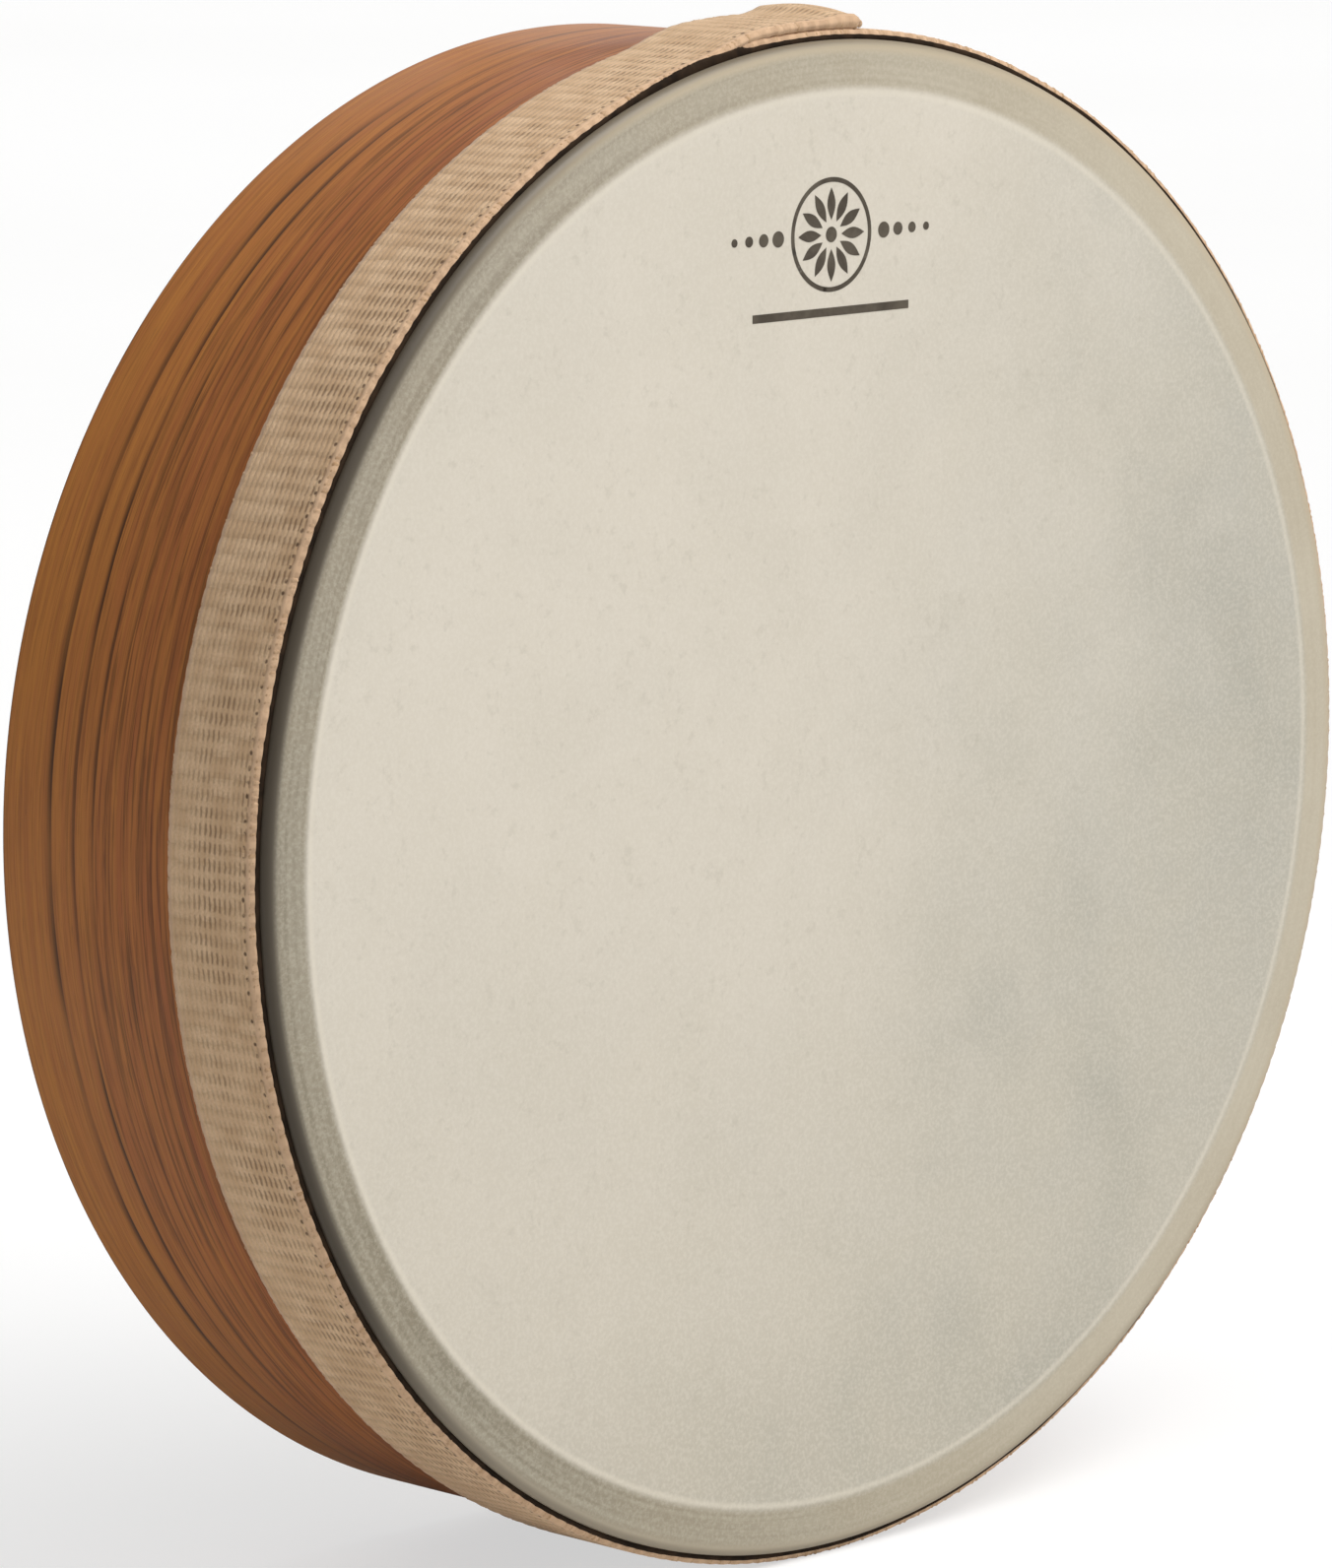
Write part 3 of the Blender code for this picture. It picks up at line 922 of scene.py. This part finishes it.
def make_ply(index, name, material):
    """One bent ply: an open hoop whose slanted ends meet at its seam."""
    section = ply_section(index)
    inner, outer = PLY_RINGS[index][:2]
    middle = (inner + outer) / 2
    gap = math.degrees(SEAM_WIDTH / middle)
    start = PLY_SEAMS[index] + gap / 2
    sweep = 360.0 - gap
    loops = []
    for step in range(RING_STEPS + 1):
        clock = start + sweep * step / RING_STEPS
        loop = []
        for point in section:
            slant = math.degrees(SEAM_SLOPE * (point[0] - middle) / middle)
            loop.append(place(point[0], point[1], clock + slant))
        loops.append(loop)
    mesh_data = bmesh.new()
    uv = mesh_data.loops.layers.uv.new("along_across")
    rows = skin(mesh_data, loops, closed=False)
    spots = {}
    for step, row in enumerate(rows):
        for point, vertex in zip(section, row):
            along = math.radians(sweep * step / RING_STEPS) * middle
            spots[vertex] = (along, point[1])
    for face in mesh_data.faces:
        for corner in face.loops:
            corner[uv].uv = spots[corner.vert]
    return add_piece(name, mesh_data, material)


def film_outside():
    """Outer side of the head, from its middle over the shoulder to the end of the skirt."""
    points = [(CREST_RADIUS * ring / FILM_RINGS, FILM_TOP) for ring in range(FILM_RINGS)]
    for step in range(CREST_STEPS + 1):
        share = step / CREST_STEPS
        run = CREST_SPREAD * (share - 0.5)
        drop = BEARING_SLOPE * CREST_SPREAD * share * share / 2
        points.append((CREST_RADIUS + run, FILM_TOP - drop))
    tilt = math.atan(BEARING_SLOPE)
    centre_radius = FILM_RIM - ROLL_RADIUS
    join_radius = centre_radius + ROLL_RADIUS * math.sin(tilt)
    join_height = FILM_TOP - BEARING_SLOPE * (join_radius - CREST_RADIUS)
    centre_height = join_height - ROLL_RADIUS * math.cos(tilt)
    for step in range(ROLL_STEPS + 1):
        angle = (math.pi / 2 - tilt) * (1 - step / ROLL_STEPS)
        points.append((
            centre_radius + ROLL_RADIUS * math.cos(angle),
            centre_height + ROLL_RADIUS * math.sin(angle),
        ))
    for step in range(1, TUCK_STEPS + 1):
        angle = -math.radians(TUCK_TURN) * step / TUCK_STEPS
        points.append((
            FILM_RIM - TUCK_RADIUS + TUCK_RADIUS * math.cos(angle),
            centre_height + TUCK_RADIUS * math.sin(angle),
        ))
    points.append((SKIRT_RADIUS, centre_height - TUCK_DROP - TUCK_RADIUS * 0.4))
    points.append((SKIRT_RADIUS, FILM_LOW))
    return points


def film_profile():
    """The outer side, and the inner side one film thickness under it."""
    outside = [Vector(point) for point in film_outside()]
    inside = []
    for index, point in enumerate(outside):
        before = outside[max(0, index - 1)]
        after = outside[min(len(outside) - 1, index + 1)]
        run = (after - before).normalized()
        inside.append(point - Vector((-run.y, run.x)) * FILM_THICKNESS)
    inside[0].x = 0.0
    inside[-1].y = FILM_LOW
    return outside + inside[::-1]


def make_film():
    profile = film_profile()
    mesh_data = bmesh.new()
    clocks = [360.0 * step / RING_STEPS for step in range(RING_STEPS)]
    columns = []
    for point in profile:
        if point.x < 1e-9:
            columns.append([mesh_data.verts.new(place(0.0, point.y, 0.0))])
        else:
            columns.append([mesh_data.verts.new(place(point.x, point.y, clock)) for clock in clocks])
    for first, second in zip(columns, columns[1:]):
        for step in range(RING_STEPS):
            following = (step + 1) % RING_STEPS
            corners = [
                first[step % len(first)],
                first[following % len(first)],
                second[following % len(second)],
                second[step % len(second)],
            ]
            unique = list(dict.fromkeys(corners))
            mesh_data.faces.new(unique)
    return add_piece("head_film", mesh_data, FILM, 60.0)


# Webbing ---------------------------------------------------------------------------------------


def strap_path():
    """Middle line of the strap, from its lower end once round and over its own start."""
    base = WEBBING_INNER + WEBBING_THICKNESS / 2
    layer = WEBBING_THICKNESS + LAYER_GAP
    step = math.degrees(PATH_STEP / base)
    middle_height = (WEBBING_LOW + WEBBING_HIGH) / 2
    steps = round((360.0 + LAP_END - LAP_START) / step)
    points = []
    for index in range(steps + 1):
        clock = LAP_START + (360.0 + LAP_END - LAP_START) * index / steps
        rise = layer * smooth_step(clock - 360.0, *CLIMB)
        points.append(Vector(place(base + rise, middle_height, clock)))
    return points


def add_curve(name, points, cyclic):
    curve = bpy.data.curves.new(name, "CURVE")
    curve.dimensions = "3D"
    spline = curve.splines.new("POLY")
    spline.points.add(len(points) - 1)
    for spot, point in zip(spline.points, points):
        spot.co = (*point, 1.0)
    spline.use_cyclic_u = cyclic
    curve_object = bpy.data.objects.new(name, curve)
    bpy.context.scene.collection.objects.link(curve_object)
    return curve_object


def strap_section():
    """Outline of the strap: flat faces, and edges rounded by half a turn."""
    half = WEBBING_WIDTH / 2 - WEBBING_THICKNESS / 2
    reach = WEBBING_THICKNESS / 2
    points = []
    for side in (1, -1):
        for step in range(EDGE_STEPS + 1):
            angle = math.radians(-90 + 180 * step / EDGE_STEPS)
            across = side * (half + reach * math.cos(angle))
            points.append(Vector((across, side * reach * math.sin(angle), 0.0)))
        for step in range(1, FLAT_STEPS):
            points.append(Vector((side * half * (1 - 2 * step / FLAT_STEPS), side * reach, 0.0)))
    return points


def ribbed_strap_tree():
    """Sweeps a section along a path and raises ribs across it."""
    inputs = (
        ("NodeSocketGeometry", "Path", None),
        ("NodeSocketObject", "Section", None),
        ("NodeSocketFloat", "Sample Step", 0.0006),
        ("NodeSocketFloat", "Rib Pitch", 0.003),
        ("NodeSocketFloat", "Rib Relief", 0.2),
        ("NodeSocketFloat", "Scallop", 0.01),
        ("NodeSocketFloat", "Half Width", 0.01),
        ("NodeSocketFloat", "Half Thickness", 0.001),
        ("NodeSocketFloat", "Hem Length", 0.01),
        ("NodeSocketFloat", "Hem Swell", 0.001),
        ("NodeSocketFloat", "Hem Crown", 0.001),
        ("NodeSocketFloat", "End Rounding", 0.001),
        ("NodeSocketVector", "Axis", None),
        ("NodeSocketInt", "Seed", 0),
        ("NodeSocketMaterial", "Material", None),
    )
    outputs = (("NodeSocketGeometry", "Geometry"),)
    nodes, source, target = make_group("ribbed_strap", "GeometryNodeTree", inputs, outputs)
    samples = {"Curve": source["Path"], "Length": source["Sample Step"]}
    resample = nodes.add("GeometryNodeResampleCurve", samples, mode="LENGTH")
    length = nodes.add("GeometryNodeSplineParameter").outputs["Length"]
    total = nodes.add("GeometryNodeSplineLength").outputs["Length"]
    centre = nodes.add("GeometryNodeInputPosition").outputs[0]
    capture = nodes.add("GeometryNodeCaptureAttribute", {"Geometry": resample.outputs[0]})
    capture.capture_items.new("FLOAT", "along")
    capture.capture_items.new("VECTOR", "centre")
    capture.capture_items.new("FLOAT", "left")
    nodes.feed(capture.inputs["left"], nodes.math("SUBTRACT", total, length))
    nodes.feed(capture.inputs["along"], length)
    nodes.feed(capture.inputs["centre"], centre)
    section = nodes.add("GeometryNodeObjectInfo", {"Object": source["Section"]}).outputs["Geometry"]
    sweep = nodes.add("GeometryNodeCurveToMesh", {
        "Curve": capture.outputs["Geometry"],
        "Profile Curve": section,
        "Fill Caps": True,
    })
    here = nodes.add("GeometryNodeInputPosition").outputs[0]
    parts = nodes.split(nodes.vector_math("SUBTRACT", here, capture.outputs["centre"]))
    along = capture.outputs["along"]
    seed = nodes.times(source["Seed"], 3.7)
    drift = nodes.noise(nodes.vector(along, seed), RIB_DRIFT[0], 2.0)
    wobble = nodes.noise(nodes.vector(along, parts["Y"], seed), RIB_WOBBLE[0], 2.0)
    phase = nodes.math("DIVIDE", along, source["Rib Pitch"])
    phase = nodes.times_plus(drift, RIB_DRIFT[1], phase)
    phase = nodes.times_plus(wobble, RIB_WOBBLE[1], phase)
    phase = nodes.times_plus(parts["Y"], RIB_SLANT, phase)
    rib = nodes.math("POWER", nodes.wave(phase, 1.0), RIB_FULLNESS)
    scale, varying, least = RIB_UNEVENNESS
    one_rib = nodes.vector(nodes.math("FLOOR", phase), parts["Y"], seed)
    rib = nodes.times(rib, nodes.times_plus(nodes.noise(one_rib, scale, 2.0), varying, least))
    rise = nodes.times(rib, source["Rib Relief"])
    spread = nodes.times(rib, source["Scallop"])
    # Both ends are rounded off, and the upper one swells into a crowned hem
    left = capture.outputs["left"]
    ends = []
    for distance in (along, left):
        short = nodes.math("SUBTRACT", source["End Rounding"], distance)
        short = nodes.math("MAXIMUM", nodes.math("DIVIDE", short, source["End Rounding"]), 0.0)
        square = nodes.math("SUBTRACT", 1.0001, nodes.times(short, short))
        ends.append(nodes.math("SQRT", square))
    end_share = nodes.times(ends[0], ends[1])
    full_hem = nodes.times(source["Hem Length"], FULL_HEM)
    hem = nodes.ramp(left, source["Hem Length"], full_hem)
    hem_start = nodes.ramp(along, source["Hem Length"], full_hem)
    doubled = nodes.math("MAXIMUM", hem, nodes.times(hem_start, LOWER_HEM))
    swell = nodes.times(doubled, source["Hem Swell"])
    thicker = nodes.math("DIVIDE", nodes.times(swell, 0.5), source["Half Thickness"])
    scale = nodes.math("ADD", nodes.math("ADD", rise, 1.0), thicker)
    scale = nodes.math("SUBTRACT", nodes.times(scale, end_share), 1.0)
    aside = nodes.math("DIVIDE", parts["Y"], source["Half Width"])
    aside = nodes.math("SUBTRACT", aside, CROWN_SHIFT)
    dome = nodes.math("SUBTRACT", 1.0, nodes.times(aside, aside), clamp=True)
    crown = nodes.times(nodes.times(dome, hem), source["Hem Crown"])
    outward = nodes.times_plus(swell, 0.5, crown)
    radial = nodes.vector_math("SUBTRACT", capture.outputs["centre"], source["Axis"])
    radial = nodes.split(nodes.vector_math("NORMALIZE", radial))
    shift = nodes.vector(
        nodes.times_plus(radial["X"], outward, nodes.times(parts["X"], scale)),
        nodes.times(parts["Y"], spread),
        nodes.times_plus(radial["Z"], outward, nodes.times(parts["Z"], scale)),
    )
    shaped = nodes.add("GeometryNodeSetPosition", {"Geometry": sweep.outputs[0], "Offset": shift})
    keep_phase = nodes.add("GeometryNodeStoreNamedAttribute", {
        "Geometry": shaped.outputs[0],
        "Name": "rib_phase",
        "Value": phase,
    }, data_type="FLOAT", domain="POINT")
    keep_across = nodes.add("GeometryNodeStoreNamedAttribute", {
        "Geometry": keep_phase.outputs[0],
        "Name": "strap_across",
        "Value": parts["Y"],
    }, data_type="FLOAT", domain="POINT")
    real = nodes.add("GeometryNodeRealizeInstances", {"Geometry": keep_across.outputs[0]})
    final = {"Geometry": real.outputs[0], "Material": source["Material"]}
    nodes.feed(target["Geometry"], nodes.add("GeometryNodeSetMaterial", final).outputs[0])
    return nodes.tree


def edge_loops_tree():
    """Sets small slanted loops of yarn along both edges of a strap."""
    inputs = (
        ("NodeSocketGeometry", "Path", None),
        ("NodeSocketFloat", "Loop Pitch", 0.0015),
        ("NodeSocketFloat", "Edge Distance", 0.01),
        ("NodeSocketVector", "Loop Size", None),
        ("NodeSocketFloat", "Tilt", 0.5),
        ("NodeSocketInt", "Seed", 0),
        ("NodeSocketMaterial", "Material", None),
    )
    outputs = (("NodeSocketGeometry", "Geometry"),)
    nodes, source, target = make_group("edge_loops", "GeometryNodeTree", inputs, outputs)
    samples = {"Curve": source["Path"], "Length": source["Loop Pitch"]}
    resample = nodes.add("GeometryNodeResampleCurve", samples, mode="LENGTH")
    bead = nodes.add("GeometryNodeMeshUVSphere", {"Segments": 8, "Rings": 6, "Radius": 1.0})
    tangent = nodes.add("GeometryNodeInputTangent").outputs[0]
    aim = nodes.add("FunctionNodeAlignRotationToVector", {"Vector": tangent}, axis="X", pivot_axis="Y")
    joined = nodes.add("GeometryNodeJoinGeometry")
    for side in (1.0, -1.0):
        distance = nodes.times(source["Edge Distance"], side)
        offset = {"Geometry": resample.outputs[0], "Offset": nodes.vector(0.0, distance, 0.0)}
        moved = nodes.add("GeometryNodeSetPosition", offset)
        jitter = nodes.add("FunctionNodeRandomValue", {"Seed": source["Seed"]}, data_type="FLOAT")
        jitter.inputs[2].default_value, jitter.inputs[3].default_value = LOOP_SPREAD
        turn = nodes.times(source["Tilt"], side)
        euler = nodes.add("FunctionNodeEulerToRotation", {"Euler": nodes.vector(0.0, 0.0, turn)})
        turns = {"Rotation": aim.outputs[0], "Rotate By": euler.outputs[0]}
        slant = nodes.add("FunctionNodeRotateRotation", turns, rotation_space="LOCAL")
        size = nodes.add("ShaderNodeVectorMath", operation="SCALE")
        nodes.feed(size.inputs[0], source["Loop Size"])
        nodes.feed(size.inputs["Scale"], jitter.outputs[1])
        scatter = nodes.add("GeometryNodeInstanceOnPoints", {
            "Points": moved.outputs[0],
            "Instance": bead.outputs["Mesh"],
            "Rotation": slant.outputs[0],
            "Scale": size.outputs[0],
        })
        nodes.tree.links.new(scatter.outputs[0], joined.inputs[0])
    real = nodes.add("GeometryNodeRealizeInstances", {"Geometry": joined.outputs[0]})
    smooth = nodes.add("GeometryNodeSetShadeSmooth", {"Geometry": real.outputs[0]})
    final = {"Geometry": smooth.outputs[0], "Material": source["Material"]}
    nodes.feed(target["Geometry"], nodes.add("GeometryNodeSetMaterial", final).outputs[0])
    return nodes.tree


def grow(name, start, tree, values):
    """Runs a Geometry Nodes tree on an object and keeps the result as a plain mesh piece."""
    modifier = start.modifiers.new(name, "NODES")
    modifier.node_group = tree
    for item in tree.interface.items_tree:
        if item.in_out == "INPUT" and item.name in values:
            modifier[item.identifier] = values[item.name]
    graph = bpy.context.evaluated_depsgraph_get()
    graph.update()
    mesh = bpy.data.meshes.new_from_object(start.evaluated_get(graph), depsgraph=graph)
    mesh.name = name
    start.modifiers.remove(modifier)
    piece = bpy.data.objects.new(name, mesh)
    bpy.context.scene.collection.objects.link(piece)
    return piece


def make_webbing():
    path = add_curve("strap_path", strap_path(), cyclic=False)
    section = add_curve("strap_section", strap_section(), cyclic=True)
    strap = grow("webbing_strap", path, ribbed_strap_tree(), {
        "Section": section,
        "Sample Step": SAMPLE_STEP,
        "Rib Pitch": RIB_PITCH,
        "Rib Relief": RIB_RELIEF,
        "Scallop": RIB_SCALLOP,
        "Half Width": WEBBING_WIDTH / 2,
        "Half Thickness": WEBBING_THICKNESS / 2,
        "Hem Length": HEM_LENGTH,
        "Hem Swell": HEM_SWELL,
        "Hem Crown": HEM_CROWN,
        "End Rounding": END_ROUNDING,
        "Axis": (AXIS_X, BACK_Y - (WEBBING_LOW + WEBBING_HIGH) / 2, AXIS_Z),
        "Seed": 4,
        "Material": WEBBING,
    })
    loops = grow("webbing_edge_loops", path, edge_loops_tree(), {
        "Loop Pitch": LOOP_PITCH,
        "Edge Distance": WEBBING_WIDTH / 2 - LOOP_SIZE[1],
        "Loop Size": LOOP_SIZE,
        "Tilt": math.radians(LOOP_TILT),
        "Seed": 9,
        "Material": SELVAGE,
    })
    strap.data.shade_smooth()
    for guide in (path, section):
        curve = guide.data
        bpy.data.objects.remove(guide)
        bpy.data.curves.remove(curve)
    return strap, loops


def make_glue_and_shade_bead():
    """Uneven near-black bead in the corner between the webbing and the shoulder of the head: dark glue, and
    painted shade in that corner.
    """
    mesh_data = bmesh.new()
    loops = []
    for step in range(BEAD_STEPS):
        clock = 360.0 * step / BEAD_STEPS
        turned = clock - 360.0 if clock > 180.0 else clock
        angle = math.radians(clock)
        spot = Vector((math.sin(angle), math.cos(angle), 0.0)) * BEAD_LUMPS
        swell = noise.noise(spot) * BEAD_UNEVEN
        widened = smooth_step(turned, *BEAD_WIDENS) * (1.0 - smooth_step(turned, *BEAD_NARROWS))
        outer = WEBBING_INNER + BEAD_WIDTH + swell + BEAD_EXTRA * widened
        high = WEBBING_HIGH + BEAD_RISE + swell * 0.5
        low = WEBBING_HIGH - BEAD_DEPTH
        inner = WEBBING_INNER - BEAD_TUCK
        ring = [
            (inner, low),
            (outer, low),
            (outer + 0.00008, high - 0.0004),
            (outer - 0.0001, high - 0.00005),
            (outer - 0.0004, high + 0.00008),
            (WEBBING_INNER + 0.0002, high + 0.0001),
            (inner, high - 0.0001),
        ]
        loops.append([place(radius, height, clock) for radius, height in ring])
    skin(mesh_data, loops, closed=True)
    return add_piece("edge_glue", mesh_data, DARK_GLUE_AND_SHADE, 60.0)


# Ornament --------------------------------------------------------------------------------------


def ink_shape(mesh_data, outline):
    """A thin closed print on the head, from points right of and above the drum's axis."""
    front = BACK_Y - FILM_TOP - INK_GAP - INK_THICKNESS
    back = BACK_Y - FILM_TOP - INK_GAP
    layers = []
    for depth in (front, back):
        layers.append([mesh_data.verts.new((AXIS_X + x, depth, AXIS_Z + z)) for x, z in outline])
    mesh_data.faces.new(layers[0])
    mesh_data.faces.new(layers[1][::-1])
    front_row, back_row = layers
    for index in range(len(outline)):
        following = (index + 1) % len(outline)
        mesh_data.faces.new((
            front_row[index],
            back_row[index],
            back_row[following],
            front_row[following],
        ))


def around(centre, radius, angle):
    """The point at a distance and an angle from a centre, clock-wise from straight up."""
    return (centre[0] + radius * math.sin(angle), centre[1] + radius * math.cos(angle))


def ink_ring(mesh_data, centre, outer, inner):
    """A printed ring."""
    for index in range(RING_SIDES):
        angles = [2 * math.pi * (index + offset) / RING_SIDES for offset in (0, 1)]
        outline = [around(centre, outer, angle) for angle in angles]
        outline += [around(centre, inner, angle) for angle in angles[::-1]]
        ink_shape(mesh_data, outline)
    bmesh.ops.remove_doubles(mesh_data, verts=mesh_data.verts[:], dist=1e-6)


def leaf(centre, direction):
    """Outline of a pointed leaf, up one side and down the other."""
    length, width = PETAL_SIZE
    along = Vector((math.sin(direction), math.cos(direction)))
    side = Vector((along.y, -along.x))
    points = []
    for turn in (1, -1):
        for step in range(PETAL_STEPS):
            share = step / PETAL_STEPS if turn > 0 else 1 - step / PETAL_STEPS
            spread = side * width * turn * math.sin(math.pi * share) / 2
            points.append(Vector(centre) + along * length * share + spread)
    return [tuple(point) for point in points]


def disc(centre, radius):
    """Outline of a round dot."""
    return [around(centre, radius, 2 * math.pi * step / DISC_SIDES) for step in range(DISC_SIDES)]


def make_ornament():
    """A plain rosette between rows of dots, with a bar under it."""
    mesh_data = bmesh.new()
    centre = ORNAMENT_CENTRE
    for petal in range(PETALS):
        direction = 2 * math.pi * petal / PETALS
        ink_shape(mesh_data, leaf(around(centre, PETAL_START, direction), direction))
    ink_shape(mesh_data, disc(centre, HEART_RADIUS))
    for side in (-1, 1):
        for number, size in enumerate(DOT_SIZES):
            dot_x = centre[0] + side * (DOT_START + DOT_PITCH * number)
            ink_shape(mesh_data, disc((dot_x, centre[1]), size))
    width, height = BAR_SIZE
    low = centre[1] - BAR_DROP
    ink_shape(mesh_data, [
        (centre[0] - width / 2, low),
        (centre[0] + width / 2, low),
        (centre[0] + width / 2, low + height),
        (centre[0] - width / 2, low + height),
    ])
    ink_ring(mesh_data, centre, ROSETTE_RADIUS, ROSETTE_RADIUS - INK_LINE)
    return add_piece("head_ornament", mesh_data, INK, 30.0)


# Camera, light and floor ------------------------------------------------------------------------


def make_camera():
    azimuth = math.radians(CAMERA_AZIMUTH)
    elevation = math.radians(CAMERA_ELEVATION)
    back = Vector((
        math.sin(azimuth) * math.cos(elevation),
        -math.cos(azimuth) * math.cos(elevation),
        math.sin(elevation),
    ))
    forward = -back
    right = forward.cross(Vector((0.0, 0.0, 1.0))).normalized()
    upward = right.cross(forward)
    aim = (forward + right * CAMERA_AIM[0] + upward * CAMERA_AIM[1]).normalized()
    data = bpy.data.cameras.new("camera")
    data.lens = CAMERA_LENS
    data.sensor_width = 36.0
    data.clip_start = 0.05
    data.clip_end = 100.0
    camera = bpy.data.objects.new("camera", data)
    camera.location = Vector((AXIS_X, BACK_Y, AXIS_Z)) + back * CAMERA_DISTANCE
    camera.rotation_mode = "QUATERNION"
    camera.rotation_quaternion = aim.to_track_quat("-Z", "Y")
    bpy.context.scene.collection.objects.link(camera)
    bpy.context.scene.camera = camera


def add_sun(name, azimuth, elevation, strength, softness, colour):
    """A wide soft light from a clock-wise azimuth (0 is the front, 90 the right) and elevation."""
    data = bpy.data.lights.new(name, "SUN")
    data.energy = strength
    data.angle = math.radians(softness)
    data.color = colour
    lamp = bpy.data.objects.new(name, data)
    turn, rise = math.radians(azimuth), math.radians(elevation)
    towards = Vector((
        math.sin(turn) * math.cos(rise),
        -math.cos(turn) * math.cos(rise),
        math.sin(rise),
    ))
    lamp.rotation_mode = "QUATERNION"
    lamp.rotation_quaternion = (-towards).to_track_quat("-Z", "Y")
    bpy.context.scene.collection.objects.link(lamp)


def add_softbox(name, spot, size, power):
    """A square light that faces the top of the drum from spot."""
    data = bpy.data.lights.new(name, "AREA")
    data.energy = power
    data.size = size
    lamp = bpy.data.objects.new(name, data)
    lamp.location = spot
    target = Vector((AXIS_X, BACK_Y - FILM_TOP, AXIS_Z + SHELL_RADIUS / 2))
    lamp.rotation_mode = "QUATERNION"
    lamp.rotation_quaternion = (target - Vector(spot)).to_track_quat("-Z", "Y")
    bpy.context.scene.collection.objects.link(lamp)


def make_studio(floor_height):
    for sun in SUNS:
        add_sun(*sun)
    add_softbox("head_light", SOFTBOX_PLACE, SOFTBOX_SIZE, SOFTBOX_POWER)
    world = bpy.data.worlds.new("studio")
    world.use_nodes = True
    backdrop = world.node_tree.nodes["Background"]
    backdrop.inputs["Color"].default_value = (*WHITE, 1.0)
    backdrop.inputs["Strength"].default_value = ROOM_LIGHT
    bpy.context.scene.world = world
    mesh_data = bmesh.new()
    bmesh.ops.create_grid(mesh_data, x_segments=4, y_segments=4, size=FLOOR_SIZE / 2)
    bmesh.ops.translate(mesh_data, verts=mesh_data.verts, vec=(0.0, 0.0, floor_height))
    return add_piece("floor", mesh_data, FLOOR)


# Assembly --------------------------------------------------------------------------------------


make_camera()
PLY_WOODS = (INNER_WOOD, DARK_CORE_WOOD, CORE_WOOD, DARK_CORE_WOOD, FACE_WOOD)
plies = []
for index, (node, wood) in enumerate(zip(PLY_NODES, PLY_WOODS)):
    plies.append(make_ply(index, node.replace("shell", "hoop"), wood))
film = make_film()
strap, edge_loops = make_webbing()
edge_glue = make_glue_and_shade_bead()
ornament = make_ornament()
webbing_heights = [vertex.co.z for piece in (strap, edge_loops) for vertex in piece.data.vertices]
floor = make_studio(min(webbing_heights))

# The tape under the webbing is near-black, partly as painted shade in the gap at its edge
for node, material in (("head_glue_band", CLEAR_GLUE), ("webbing_tape", DARK_TAPE_AND_SHADE)):
    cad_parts[node].data.materials.clear()
    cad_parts[node].data.materials.append(material)

for piece, node, slot in zip(plies, PLY_NODES, PLY_SLOTS):
    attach(piece, "root")
    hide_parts(node)
for piece, slot in (
    (film, "head_film"),
    (strap, "webbing"),
    (edge_loops, "webbing"),
    (edge_glue, "dark_glue"),
    (ornament, "head_film"),
):
    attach(piece, "root")
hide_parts("drumhead_film")
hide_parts("trim_webbing")
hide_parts("edge_glue_line")

bpy.context.scene.view_settings.view_transform = "Standard"
